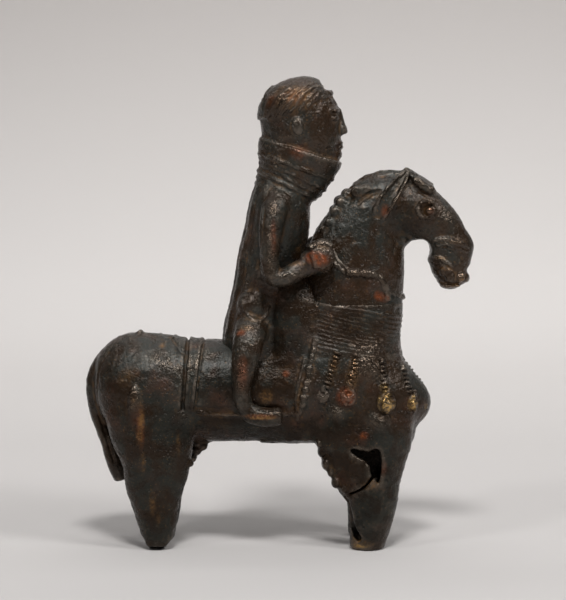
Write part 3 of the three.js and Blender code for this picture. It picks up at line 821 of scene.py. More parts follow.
def horse_clay():
    trunk = drawn(TRUNK)
    rear, front = (place_at(trunk, x) for x in CLOTH_ENDS)

    def cloth(place, angle):
        """The saddle cloth stands a little proud of the back."""
        inside = np.clip((place - rear) / 0.05, 0, 1) * np.clip((front - place) / 0.05, 0, 1)
        return CLOTH_THICK * inside * np.clip((CLOTH_HEM - np.abs(angle)) / 4, 0, 1)

    clay = Clay([-81, -27, -1.2], [66, 27, 112], 0.6)
    clay.add(trunk, caps=(6.5, 7.6), blend=0, lift=cloth)
    clay.add(drawn(NECK[4:]), caps=(2, 2.6), blend=5)
    clay.add(drawn(LAP), blend=4)
    clay.model(BREAST, scale=UNIT)
    for side in BOTH:
        clay.add(drawn(HIND_LEG, side), caps=(7.6, 1), blend=3)
        clay.add(drawn(FORE_LEG, side), caps=(7.6, 1), blend=3)
        clay.model(SHOULDER, side, UNIT)
    clay.add(drawn(TAIL), caps=(1.2, 1.9), blend=0.8)
    clay.add(drawn(SHEATH), blend=1.5)
    return clay


STRAP_EDGES = [(-19.2, -18.6, 0.7), (-16.2, -17.5, 1.0)]  # x at the spine and at the hem, and thickness
STRAP_GROOVES = [(-19.9, -19.2, 1.3), (-15.5, -16.9, 0.8)]
HEM_CORD = [(197, 411), (214, 414), (245, 415), (270, 416), (300, 413)]
FRONT_RIDGE = [(305, 358), (301, 375), (297, 392), (296, 404), (298, 420)]
FRONT_ROPE = [(316, 341), (313, 353), (309.5, 366), (308, 378), (305, 392), (303, 402), (299, 414)]
RUMP_CREASE = [(171, 337), (174, 342), (177, 345), (179, 350), (183, 353)]
RUMP_LUMPS = [
    (140, 333, 1.3), (152, 337, 0.7), (160, 336, 0.8), (168, 338, 0.7), (174, 338, 0.9), (166, 342, 0.8),
]
SHOULDER_LUMPS = [
    (333, 411, 2.0), (340, 415, 1.7), (373, 419, 1.8), (381, 425, 2.0), (386, 417, 1.5), (366, 362, 2.2),
    (373, 370, 2.0),
]
FLAP_LUMPS = [
    (322, 452, 1.8), (326, 464, 2.0), (330.5, 472, 1.5), (336, 482, 1.9), (344, 489, 1.4), (319, 444, 1.1),
]
SHEATH_LUMPS = [(203, 446, 1.9), (197, 451, 1.8), (192.5, 458, 1.8), (190, 463, 1.6), (198, 444, 1.2)]
TAIL_SIDE = [(109, 352), (100, 366), (97, 385), (99, 410), (106, 436), (114, 462)]
THIGH_LUMP = [(134, 404)]
FORE_SOLE_RIM = [(368, 487), (374, 482), (378, 476), (379, 468)]
WALL = 2.6  # of the bronze round the hollow of the broken leg
CRACK_WIDTH = 0.35  # units
STRAP_REACH = 104  # degrees from the back's middle to a strap's end
SOLE_TRIMS = [  # at the right hind foot's heel, toe and outer edge: place and half sizes
    ((-59.5, -13.7, -1), (7.3, 16, 8.3)), (spot(-21.2, FOOT_MIDDLE, -0.2), (4.2, 14, 6)),
    ((-49.5, -20.5, -1), (12, 8, 2.6)),
]


def horse_body(clay):
    clay.carve(drawn(FORE_LEG[1:-2]), caps=(3.8, 1.1), swell=-WALL, blend=0.3)
    clay.cut_prism(HOLE)
    clay.cut_prism(SLOT)
    for a, b in zip(CRACK, CRACK[1:]):
        below = [[x + CRACK_WIDTH, z - CRACK_WIDTH] for x, z in (a, b)]
        clay.cut_prism([a, *below, b])
    for x, y, radius in RUMP_LUMPS + SHEATH_LUMPS:
        for at in clay.seen([(x, y)]), clay.seen([(x, y)], -1):
            clay.press_on(at[0], (radius, radius, radius), blend=0.5)
    clay.stud(SHOULDER_LUMPS, lambda radius: (radius, 0.5, radius), 1.2)
    clay.stud(THIGH_LUMP, lambda: (2.4, 1.0, 7.5), 1, sides=(1,))
    clay.stud(FLAP_LUMPS, lambda radius: (radius, radius * 1.6, radius * 1.3), 0.9, sides=(1,))
    for top, low, depth in STRAP_GROOVES:
        for at in over_back(top, low, STRAP_REACH):
            clay.press_in(at, (0.7, depth, depth), blend=0.5)
    grooved(clay, RUMP_CREASE, 0.7, 1.0)
    grooved(clay, TAIL_SIDE, 0.7, 0.8)
    for side in BOTH:
        for at, size in SOLE_TRIMS:
            clay.press_in(mirrored(at, side), size, blend=0.6)
    clay.stand()
    bands = [(over_back(top, low, STRAP_REACH), thick) for top, low, thick in STRAP_EDGES]
    hems = [(path, 0.85) for path in laid(clay, HEM_CORD) + laid(clay, FRONT_RIDGE)]
    knots = [(path + [0, 0.7 * np.sign(-path[0, 1]), 0], 1.7) for path in laid(clay, FRONT_ROPE)]
    rims = [(path, 0.7) for path in laid(clay, FORE_SOLE_RIM, sides=(1,))]
    parts = [
        clay.skin(),
        grown(cord, bands, Strands=5, Furrow=0.15, Turns_per_metre=90.0, Wander=0.0007, Seed=3.0),
        grown(cord, hems + rims, Strands=4, Furrow=0.2, Turns_per_metre=160.0, Wander=0.0006, Seed=5.0),
        grown(coils, knots, Spacing=0.0014, Flatness=0.42, Unevenness=0.2, Seed=6),
    ]
    return finished("horse_body", parts, 0.42)


NOSEBANDS = [
    ([(431, 243), (437, 239.5), (445, 238.5), (452, 241), (459, 244), (468, 247)], 1.35),
    ([(434, 247), (441, 244), (449, 244.5), (457, 248.5), (467, 252)], 1.15),
    ([(430, 254), (437, 257), (443, 260), (449, 264.5), (455, 268)], 1.0),
    ([(434, 262), (441, 264.5), (447, 268.5), (452, 273)], 0.9),
]
NOSEBAND_FADE = 4  # points from a noseband's end to its full thickness
EAR_EDGE = 0.75  # the thickness of its rim
EAR_LEAN = np.array([0.2, 1.4, 1.3, 0.6, 0])  # how far outwards each station of the ear is set
EAR_HOLLOW = 1.5  # how far outwards the ear's hollow lies
EYE = (31.2, -5.2, 71.7)
EYE_RADIUS = 3.5
EYES = [("in", EYE, (3.4, 1.1, 3.4), 0.5), ("on", (31.8, -5.1, 71.4), (1.8, 2.0, 1.8), 0.2)]
# Crest, nose, jaw, throat, mouth, brow band, lower lip and chin.
HEAD_SHAPES = [
    ("on", (27.3, 0, 79.6), (1.5, 1.5, 1.5), 0.5), ("on", (36.4, 0, 63.4), (9.9, 6.5, 9), 1.2),
    ("on", (25.5, 0, 65.3), (5.2, 7, 3.5), 1.5), ("in", (30.2, 0, 63), (4.3, 20, 4.6), 1.2),
    ("in", (41.6, 0, 58.7), (2.9, 9, 1.9), 0.8), ("on", (31.5, 0, 76.3), (2.0, 6.4, 2.1), 0.4),
    ("on", (39.2, 0, 57.1), (2.9, 4.4, 2.6), 0.6), ("on", (36.4, 0, 55.6), (3.6, 4.2, 1.7), 0.6),
]
FORELOCK_LINE = [(413, 181), (418, 189), (425, 194), (433, 195)]
LIP_LINE = [(441, 283), (450, 284), (458, 284.5), (466, 283)]
MANE_LINE = [(358, 203), (366, 196), (375, 192), (384, 190)]
MANE_LOCKS = (-80, -48, -16, 16, 48, 80)  # degrees round the mane
NOSTRILS = [
    (460, 277, 2.2, 2.2), (450, 276, 2.0, 2.4), (443, 272, 1.5, 2.0), (447, 285, 2.2, 1.2),
    (457, 284, 1.9, 1.3),
]
MANE_LUMPS = [
    (366, 189, 2.4), (357, 192, 2.7), (348, 195, 2.7), (341, 202, 2.6), (335, 212, 2.3),
    (329, 222, 2.0), (323, 229, 1.6), (417, 181, 1.8), (423, 186, 2.0), (430, 190, 2.0),
]


def head_clay():
    clay = Clay([6, -20, 86], [80, 20, 158], 0.5)
    clay.add(drawn(NECK[:5]), caps=(3.8, 2), blend=0)
    clay.add(drawn(HEAD), caps=(3.8, 3.8), blend=3)
    clay.add(drawn(MANE), caps=(1.9, 1.9), blend=0.8)
    clay.add(drawn(FORELOCK), caps=(1.5, 1.5), blend=0.4)
    return clay


def horse_head(clay):
    edges = []
    grooved(clay, FORELOCK_LINE, 0.8, 0.8)
    for side in BOTH:
        ear = drawn(EAR, side)
        ear[:, 1] -= side * EAR_LEAN
        clay.add(ear, caps=(2.5, 1.1), blend=0.5)
        inner = ear.copy()
        inner[:, 1] -= side * EAR_HOLLOW
        clay.carve(inner, caps=(0.3, 0.3), swell=-0.7, blend=0.3)
        run = np.linspace(0.8, len(ear) - 1.1, 30)
        edges += [(on_skin(ear, run, angle, lift=-0.2), EAR_EDGE) for angle in (-35.0 * side, -145.0 * side)]
        clay.model(EYES, side)
    clay.model(HEAD_SHAPES)
    clay.stud(MANE_LUMPS, lambda radius: (radius, radius * 0.8, radius * 0.9), 1.5)
    clay.stud(NOSTRILS, lambda across, up: (across, 1.3, up), 0.3)
    grooved(clay, LIP_LINE, 0.5, 1.6)
    grooved(clay, MANE_LINE, 1.0, 0.8)
    mane = drawn(MANE)
    bands = []
    for line, thick in NOSEBANDS:
        for path in laid(clay, line, 2.0):
            order = np.arange(len(path))
            fade = np.minimum(order, order[::-1]) / NOSEBAND_FADE + 0.3
            bands.append((path, thick * np.clip(fade, 0, 1)))
    run = np.linspace(0, len(mane) - 1, 60)
    locks = [(on_skin(mane, run, angle, lift=-0.25), 0.85) for angle in MANE_LOCKS]
    rings = []
    for side in BOTH:
        a = np.radians(np.arange(0, 361, 12))
        ring = np.stack([np.cos(a) * EYE_RADIUS, 0.25 * side * np.cos(a), np.sin(a) * EYE_RADIUS], 1)
        rings.append((mirrored(spot(*EYE), side) + ring, 0.85))
    parts = [
        clay.skin(),
        grown(cord, edges, Strands=3, Furrow=0.3, Turns_per_metre=260.0, Wander=0.0012, Seed=12.0),
        grown(cord, bands, Strands=4, Furrow=0.25, Turns_per_metre=150.0, Wander=0.0012, Seed=2.0),
        grown(cord, locks, Strands=3, Furrow=0.2, Turns_per_metre=40.0, Wander=0.0014, Seed=9.0),
        grown(coils, rings, Spacing=0.0013, Flatness=0.75, Unevenness=0.25, Seed=4),
    ]
    return finished("horse_head", parts, 0.38)


# Collar, strings and bells

COLLAR_WOUND = (51.2, 41.6)  # heights of the first and last turn of its cord, in units
COLLAR_CORE = (41, 52)  # heights of the foot and top of the skin under it, in units
COLLAR_TURNS = 12
COLLAR_CORD = 0.88
SMOOTH_CORD = {"Strands": 8, "Furrow": 0.0, "Turns_per_metre": 0.0}


def neck_collar():
    neck = drawn(NECK)
    top, foot = (place_at_height(neck, 90, z) for z in COLLAR_WOUND)
    angles = np.arange(0, 360 * COLLAR_TURNS + 1, 8.0)
    places = top + (foot - top) * angles / angles[-1] + 0.05 * np.cos(np.radians(angles + 180))
    wound = on_skin(neck, places, angles + 180, lift=-0.2)
    clay = Clay([-10, -24, 70], [60, 24, 112], 0.6)
    clay.add(neck[3:7], caps=(1, 1), blend=0, lift=lambda place, angle: 0.2)
    low, high = (spot(0, 0, z)[2] for z in COLLAR_CORE)
    z = clay.ticks[2].astype(np.float32)
    clay.field = np.maximum(clay.field, np.maximum(low - z, z - high))
    parts = [
        clay.skin(),
        grown(cord, [(wound, COLLAR_CORD)], Wander=0.0005, Seed=11.0, **SMOOTH_CORD),
    ]
    return finished("neck_collar", parts, 0.36)


# Each string's line down the breast, then its bell: place, half breadth and half height.
STRINGS = [
    ([(336.7, 354), (332, 368), (325.8, 387)], (323, 396), 2.5, 2.9),
    ([(356.7, 357), (353.5, 372), (348.6, 388)], (348.2, 397), 3.5, 3.8),
    ([(382.7, 360), (384, 370), (385.4, 380), (387, 392)], (389.5, 403.5), 4.9, 4.9),
    ([(403.5, 367), (407, 379), (410.5, 392)], (414.8, 402.5), 2.7, 4.1),
]
STRING_THICK = 2.1  # half breadth of its coils
STRING_SUNK = 0.95  # the depth of a string's middle in the breast
STRING_CORE = 1.3  # half breadth of the cord that its coils are threaded on
FRONT_STRING = (41.6, 34.4, 30.6)  # heights of its ends and of its bell, in units
FRONT_THICK, FRONT_SUNK = 1.8, 1.6
FRONT_BELL = (2.6, 3.2)


def bead_strings(body):
    clay = Clay([2, -26, 52], [66, 26, 92], 0.35)
    strings = []
    chance = np.random.default_rng(17)

    def bell(at, out, breadth, height):
        """A small open bell, its mouth turned up and out, cast rough."""
        across = np.cross(out, [0, 0, 1])
        clay.press_on(at - 0.5 * breadth * out, (breadth, breadth, height), blend=0)
        mouth = (breadth * 0.45, breadth * 0.45, height * 0.3)
        clay.press_in(at + out * breadth * 0.45 + [0, 0, height * 0.4], mouth, blend=0.3)
        clay.press_on(at + [0, 0, height * 1.1], (0.9, 1.0, 0.9), blend=0.3)
        for turn in np.arange(0, 2 * np.pi, 1.6 / breadth):
            size = chance.uniform(0.5, 0.95)
            edge = across * np.cos(turn) * breadth * 0.8 + np.array([0, 0, np.sin(turn) * height * 0.8])
            clay.press_on(at + edge + 0.05 * breadth * out, (size, size, size), blend=0.3)

    for line, place, breadth, height in STRINGS:
        for side in BOTH:
            path = eased(body.seen(curve_through(line, 2.0), side))
            at = body.seen([place], side)[0]
            out = unit_rows(at - spot(13, 0, 0)) * [1, 1, 0]
            out /= np.linalg.norm(out)
            strings.append((path - STRING_SUNK * out, STRING_THICK))
            bell(at, out, breadth, height)
    forward = np.array([1.0, 0.0, 0.0])
    top, end, bell_height = FRONT_STRING
    heights = np.linspace(top, end, 14)
    front = [[x, 0, z] for x, z in zip(front_of(body, heights), heights * UNIT + GROUND_SHIFT[2])]
    strings.append((np.array(front) - FRONT_SUNK * forward, FRONT_THICK))
    low = spot(0, 0, bell_height)
    low[0] = front_of(body, [bell_height])[0]
    bell(low - 1.2 * forward, forward, *FRONT_BELL)
    cores = [(path, STRING_CORE) for path, _ in strings]
    parts = [
        clay.skin(),
        grown(coils, strings, Spacing=0.00155, Flatness=0.28, Unevenness=0.03, Seed=7),
        grown(cord, cores, Strands=3, Furrow=0.2, Wander=0.0002, Seed=8.0),
    ]
    return finished("bead_strings", parts, 0.28)


def front_of(clay, heights):
    """How far forward the form reaches in its middle plane at heights in units."""
    x = np.arange(70.0, 10.0, -0.2)
    reach = []
    for z in heights:
        line = np.stack([x, 0 * x, np.full(len(x), spot(0, 0, z)[2])], 1)
        reach.append(x[(clay.depth_at(line) < 0).argmax()])
    return reach


# The rider

HAIR_LOCKS = [
    [(264, 118), (266, 106), (273, 94), (284, 86)],
    [(268, 120), (272, 107), (280, 96), (291, 88)],
    [(275, 117), (281, 105), (289, 95), (299, 87)],
    [(282, 114), (289, 104), (297, 94), (305, 86), (314, 83)],
    [(290, 112), (297, 103), (303, 94), (311, 88), (319, 86)],
    [(299, 110), (305, 102), (311, 95), (318, 90), (323, 87)],
    [(307, 107), (312, 101), (317, 95), (322, 91)],
    [(262, 110), (263, 101), (267, 92), (273, 86)],
]
TORSO_FOLDS = [[(256, 195), (250, 230), (246, 262), (243, 284)], [(264, 205), (261, 235), (257, 268)]]
HEM_EDGE = [(242, 300), (244.5, 310), (250.5, 318), (258.5, 321.5), (265.5, 317), (269, 306)]
TUNIC_LOBE = [("on", (-5.1, -5.1, 51.3), (6, 5.7, 6.6), 1.2)]
BACK_FOLDS = 14  # waves in the turn round the tunic
COLLAR_RINGS = [(0.1, 1.0), (0.5, 0.8), (0.85, 1.1), (1.25, 0.95), (1.65, 0.9), (2.15, 0.95)]


def rider():
    def folds(place, angle):
        """Upright folds at the back of the tunic."""
        back = np.clip((np.abs(angle) - 95) / 12, 0, 1)
        return 0.3 * back * np.cos(np.radians(angle * BACK_FOLDS))

    clay = Clay([-27, -29, 45], [32, 29, 192], 0.5)
    clay.add(drawn(TORSO), blend=0, lift=folds)
    clay.add(drawn(HIGH_COLLAR), caps=(1, 1), blend=1)
    clay.add(drawn(SKULL), blend=1)
    clay.add(drawn(HAIR), blend=0.8)
    hair_cap(clay)
    for side in BOTH:
        clay.add(drawn(ARM, side), blend=1.6)
        clay.add(drawn(HAND, side), blend=1)
        clay.add(drawn(LEG, side), blend=1.5)
        clay.model(TUNIC_LOBE, side)
    for fold in TORSO_FOLDS:
        grooved(clay, fold, 0.9, 0.7)
    calm_face(clay)
    fists = hands(clay)
    high_collar = drawn(HIGH_COLLAR)
    turn = np.arange(0, 361, 10.0)
    rings = [
        (on_skin(high_collar, np.full(len(turn), place), turn, lift=-0.1), thick)
        for place, thick in COLLAR_RINGS
    ]
    locks = [(path, 0.85) for line in HAIR_LOCKS for path in laid(clay, line)]
    hem = [(path, 0.7) for path in laid(clay, HEM_EDGE, 2.0)]
    parts = [
        clay.skin(),
        grown(cord, rings, Strands=5, Furrow=0.15, Turns_per_metre=60.0, Wander=0.0016, Seed=21.0),
        grown(cord, locks + hem, Strands=3, Furrow=0.25, Turns_per_metre=70.0, Wander=0.0008, Seed=22.0),
        fists,
    ]
    return finished("rider", parts, 0.4)


HAIR_THICK = 1.1
HAIR_LINE = ((-4, 0, 90.2), (8.6, 0, 94.4))  # from the nape to the brow


def hair_cap(clay):
    """The cap of hair stands proud of the skull, behind the line that rises from the nape to the brow."""
    cut, part = clay.mass(drawn(SKULL), swell=HAIR_THICK)
    x, y, z = (clay.ticks[k][cut[k]] for k in range(3))
    nape, brow = (spot(*place) for place in HAIR_LINE)
    line = nape[2] + (x - nape[0]) * (brow[2] - nape[2]) / (brow[0] - nape[0])
    above = (line[:, None, None] - z[None, None, :]) + 0 * y[None, :, None]
    clay.field[cut] = smooth_least(clay.field[cut], np.maximum(part, above), 0.3)


# The fingers of the right fist by the picture's pixels, each with its thickness, and the thumb over them.
FINGERS = [
    ([(312, 253), (315, 259), (317, 267)], 1.6), ([(317, 252), (321, 259), (323, 268)], 1.6),
    ([(322, 251), (326, 258), (328, 266)], 1.5), ([(327, 250), (331, 256), (332, 262)], 1.4),
    ([(309, 250), (315, 245), (323, 243), (331, 247)], 1.9),
]


def hands(clay):
    paths = [(path, thick) for line, thick in FINGERS for path in laid(clay, line, 2.0)]
    return grown(cord, paths, Wander=0.0002, Seed=23.0, **SMOOTH_CORD)


FACE_NOSE = [[12.8, 0, 92.2, 0.8, 0.9], [13.3, 0, 89.4, 1, 1.1], [13.8, 0, 87.8, 1.1, 1.6]]
LIPS_AND_CHIN = [
    ("on", (13.1, 0, 85.45), (0.9, 2.2, 0.5), 0.6), ("on", (13.1, 0, 84.55), (0.9, 2.2, 0.5), 0.6),
    ("on", (12.2, 0, 83), (1.5, 2.4, 1.4), 0.6),
]
BROW_AND_EYE = [
    ("on", (12, -2.9, 92.2), (1.2, 2.6, 0.6), 1), ("on", (11.8, -3.1, 90.6), (1.2, 1.6, 0.8), 0.3),
]
FACE_EAR = ((4.4, -7.1, 89), (1.2, 0.8, 2))


def calm_face(clay):
    """A plain face on the usual thirds: brow, foot of the nose and chin."""
    clay.add(drawn(FACE_NOSE), caps=(1, 1), blend=1.2)
    clay.model(LIPS_AND_CHIN, scale=UNIT)
    for side in BOTH:
        clay.model(BROW_AND_EYE, side, UNIT)
        at, size = FACE_EAR
        clay.press_on(mirrored(spot(*at), side), np.array(size) * UNIT, blend=0.5, tilt=10)


REIN_LINE = [(331, 250), (335, 261), (342, 268), (350, 272.5)]
REIN_LUMPS = [(350, 272.5), (360, 273), (371, 274), (380, 277.5), (385, 286), (387.5, 298)]
THROAT_CORD = [(-45, 54.4), (-20, 53.4), (0, 53), (20, 53.4), (45, 54.4)]  # degrees, and height in units
REIN_THICK, THROAT_THICK = 1.15, 1.3
REIN_SWELL, REIN_TAPER = 1.75, 0.45  # half breadth of the rein's lumps, and how much they lose forwards


def reins(head):
    neck = drawn(NECK)
    paths, lumps = [], []
    for side in BOTH:
        line = eased(head.seen(curve_through(REIN_LINE, 4.0), side), 2)
        for shift in (-0.8, 0.8):
            paths.append((line + [shift, 0.3 * side, shift * 0.6], REIN_THICK))
        line = eased(head.seen(curve_through(REIN_LUMPS, 4.0), side), 2)
        taper = REIN_TAPER * np.linspace(0, 1, len(line))
        lumps.append((line + [0, 0.5 * side, 0], REIN_SWELL - taper))
    throat = [on_skin(neck, [place_at_height(neck, angle, z)], angle)[0] for angle, z in THROAT_CORD]
    paths.append((curve_through(throat, 1.0), THROAT_THICK))
    parts = [
        grown(cord, paths + lumps, Strands=4, Furrow=0.2, Turns_per_metre=70.0, Wander=0.0012, Seed=31.0),
        grown(coils, lumps, Spacing=0.0021, Flatness=0.9, Unevenness=0.3, Seed=32),
    ]
    return finished("reins", parts, 0.34)


# The bronze

class ShaderGroup:
    """A group of shader nodes under construction, with short words for the nodes that it uses most."""

    def __init__(self, name, inputs, outputs):
        self.group, self.add, self.given, self.result = new_tree(name, "ShaderNodeTree", inputs, outputs)
        self.place = self.add("ShaderNodeTexCoord").outputs["Object"]

    def noise(self, scale, detail=3.0, rough=0.55):
        inputs = {"Vector": self.place, "Scale": scale, "Detail": detail, "Roughness": rough}
        return self.add("ShaderNodeTexNoise", inputs).outputs[0]

    def spread(self, value, low, high, to_low=0.0, to_high=1.0):
        inputs = {"Value": value, 1: low, 2: high, 3: to_low, 4: to_high}
        return self.add("ShaderNodeMapRange", inputs).outputs[0]

    def maths(self, operation, *values, **settings):
        return self.add("ShaderNodeMath", dict(enumerate(values)), operation=operation, **settings).outputs[0]

    def times(self, a, b):
        return self.maths("MULTIPLY", a, b)

    def plus(self, a, b):
        return self.maths("ADD", a, b, use_clamp=True)

    def layer(self, under, over, share):
        inputs = {"Factor_Float": share, "A_Color": under, "B_Color": over}
        node = self.add("ShaderNodeMix", inputs, data_type="RGBA")
        return next(s for s in node.outputs if s.identifier == "Result_Color")

    def painted(self, name):
        return self.add("ShaderNodeAttribute", attribute_name=name).outputs["Fac"]

    def put_out(self, **values):
        for label, value in values.items():
            self.group.links.new(value, self.result.inputs[label])


def skin_group():
    """The skin that the mould left: soft lumps, sharp pits and a fine grain, as a height in metres."""
    skin = ShaderGroup("cast_skin", [
        ("Lumps", "NodeSocketFloat", 0.0004),
        ("Pits", "NodeSocketFloat", 0.0002),
        ("Grain", "NodeSocketFloat", 0.00024),
        ("Worn grain", "NodeSocketFloat", 0.001),
    ], [("Height", "NodeSocketFloat"), ("Pitted", "NodeSocketFloat")])
    add, given, noise, times = skin.add, skin.given, skin.noise, skin.times
    lumps = times(noise(380.0, 3.0, 0.5), given["Lumps"])
    grain = times(noise(1300.0, 3.0, 0.6), given["Grain"])
    crinkle = times(given["Worn grain"], skin.painted("polish_and_painted_highlight"))
    crinkled = skin.maths("MULTIPLY_ADD", noise(620.0, 2.0, 0.5), crinkle, grain)
    stir = add("ShaderNodeTexNoise", {"Vector": skin.place, "Scale": 900.0, "Detail": 1.0}).outputs["Color"]
    shift = add("ShaderNodeVectorMath", {0: stir, "Scale": 0.0012}, operation="SCALE").outputs[0]
    bent = add("ShaderNodeVectorMath", {0: skin.place, 1: shift}, operation="ADD").outputs[0]
    cells = add("ShaderNodeTexVoronoi", {"Vector": bent, "Scale": 620.0})
    where = skin.spread(noise(120.0, 2.0, 0.5), 0.42, 0.62, 0.12, 0.42)
    pitted = skin.spread(skin.maths("SUBTRACT", where, cells.outputs["Distance"]), 0.0, 0.2)
    rough = skin.maths("ADD", lumps, crinkled)
    skin.put_out(Height=skin.maths("SUBTRACT", rough, times(pitted, given["Pits"])), Pitted=pitted)
    return skin.group


# The black of the painted shade, and of the dirt in the pits.
BLACK = (0.008, 0.006, 0.0045, 1)


def patina_and_painted_light_group():
    """Old bronze: brown, grey-green and red-brown films, ochre earth, brass, rubbed high places, painted
    shade and painted highlights.
    """
    patina = ShaderGroup("old_patina_and_painted_light", [
        ("Brown", "NodeSocketColor", (0.036, 0.0195, 0.0092, 1)),
        ("Grey green", "NodeSocketColor", (0.025, 0.0252, 0.0198, 1)),
        ("Red brown", "NodeSocketColor", (0.25, 0.062, 0.018, 1)),
        ("Ochre", "NodeSocketColor", (0.25, 0.125, 0.040, 1)),
        ("Brass", "NodeSocketColor", (0.58, 0.37, 0.13, 1)),
        ("Rubbed", "NodeSocketColor", (0.17, 0.135, 0.105, 1)),
        ("Pitted", "NodeSocketFloat", 0.0),
    ], [
        ("Color", "NodeSocketColor"), ("Roughness", "NodeSocketFloat"), ("Metallic", "NodeSocketFloat"),
        ("Gleam", "NodeSocketFloat"),
    ])
    given, noise, spread, times, plus = patina.given, patina.noise, patina.spread, patina.times, patina.plus
    layer, painted = patina.layer, patina.painted
    near, wide, polish_and_painted_highlight = painted("near_hollow"), painted("wide_hollow"), painted("polish_and_painted_highlight")
    fine = noise(750.0, 4.0, 0.65)
    middle = noise(170.0)
    broad = noise(42.0)
    green = spread(plus(times(broad, 0.6), times(middle, 0.4)), 0.44, 0.56)
    colour = layer(given["Brown"], given["Grey green"], green)
    red_films = times(spread(noise(64.0, 4.0), 0.5, 0.68), spread(middle, 0.4, 0.6, 0.0, 0.55))
    colour = layer(colour, given["Red brown"], times(red_films, 0.3))
    red = times(spread(painted("red"), 0.15, 0.75), spread(fine, 0.4, 0.56, 0.4, 1.0))
    colour = layer(colour, given["Red brown"], red)
    earth = times(spread(near, 0.05, 0.4), spread(noise(230.0, 4.0), 0.42, 0.62))
    colour = layer(colour, given["Ochre"], times(earth, 0.28))
    specks = times(spread(noise(1300.0, 3.0), 0.6, 0.7), spread(middle, 0.42, 0.6))
    colour = layer(colour, given["Ochre"], times(specks, 0.5))
    ochre = times(spread(painted("ochre"), 0.1, 0.9), spread(fine, 0.44, 0.58, 0.22, 1.0))
    colour = layer(colour, given["Ochre"], ochre)
    ridge = spread(near, -0.12, -0.55)
    colour = layer(colour, given["Rubbed"], times(ridge, spread(middle, 0.42, 0.6, 0.1, 0.6)))
    brass = times(spread(painted("brass"), 0.15, 0.7), spread(fine, 0.44, 0.55, 0.08, 1.0))
    colour = layer(colour, given["Brass"], brass)
    # Polished places: smoother and more metallic, and lightened as a painted highlight.
    polish_and_highlight = times(spread(polish_and_painted_highlight, 0.1, 0.8), spread(fine, 0.36, 0.58, 0.3, 1.0))
    colour = layer(colour, given["Rubbed"], times(polish_and_highlight, 0.4))
    # Darker in the wide hollows: painted shade, and film that hands don't rub off there.
    colour = layer(colour, BLACK, spread(wide, 0.25, 0.8, 0.0, 0.55))
    colour = layer(colour, BLACK, times(given["Pitted"], 0.45))
    # Painted shade: black at the marked places and towards the bottom, less where a highlight is painted. It
    # also lowers the gleam.
    height = patina.add("ShaderNodeSeparateXYZ", {0: patina.place}).outputs["Z"]
    shade_share = spread(polish_and_painted_highlight, 0.0, 0.8, 0.8, 0.1)
    painted_shade = plus(times(painted("painted_shade"), shade_share), spread(height, 0.075, 0.035, 0.0, 0.6))
    colour = layer(colour, BLACK, times(painted_shade, spread(middle, 0.38, 0.62, 0.7, 0.25)))
    rough = spread(plus(times(middle, 0.5), times(broad, 0.5)), 0.38, 0.62, 0.17, 0.35)
    rough = plus(rough, times(spread(near, 0.0, 0.4), 0.2))
    rough = patina.maths("SUBTRACT", rough, times(polish_and_highlight, 0.14))
    metal = plus(plus(times(ridge, 0.25), times(brass, 0.6)), times(polish_and_highlight, 0.55))
    patina.put_out(
        Color=colour, Roughness=plus(rough, times(given["Pitted"], 0.2)), Metallic=plus(metal, 0.35),
        Gleam=spread(painted_shade, 0.0, 1.0, 0.5, 0.14),
    )
    return patina.group


def bronze_material():
    """Dark bronze under an old patina, all over the casting."""
    material = bpy.data.materials.new("dark_bronze")
    material.use_nodes = True
    tree = material.node_tree
    shader = tree.nodes["Principled BSDF"]
    skin = add_node(tree, "ShaderNodeGroup", node_tree=skin_group())
    patina = add_node(tree, "ShaderNodeGroup", node_tree=patina_and_painted_light_group())
    tree.links.new(skin.outputs["Pitted"], patina.inputs["Pitted"])
    relief = {"Height": skin.outputs["Height"], "Strength": 1.0, "Distance": 1.0}
    bump = add_node(tree, "ShaderNodeBump", relief)
    for label, socket in (
        ("Color", "Base Color"), ("Roughness", "Roughness"), ("Metallic", "Metallic"),
        ("Gleam", "Specular IOR Level"),
    ):
        tree.links.new(patina.outputs[label], shader.inputs[socket])
    tree.links.new(bump.outputs[0], shader.inputs["Normal"])
    for label, value in (("IOR", 1.5), ("Coat Weight", 0.05), ("Coat Roughness", 0.25)):
        shader.inputs[label].default_value = value
    return material


# Making the pieces

MOST_TRIANGLES = 190_000
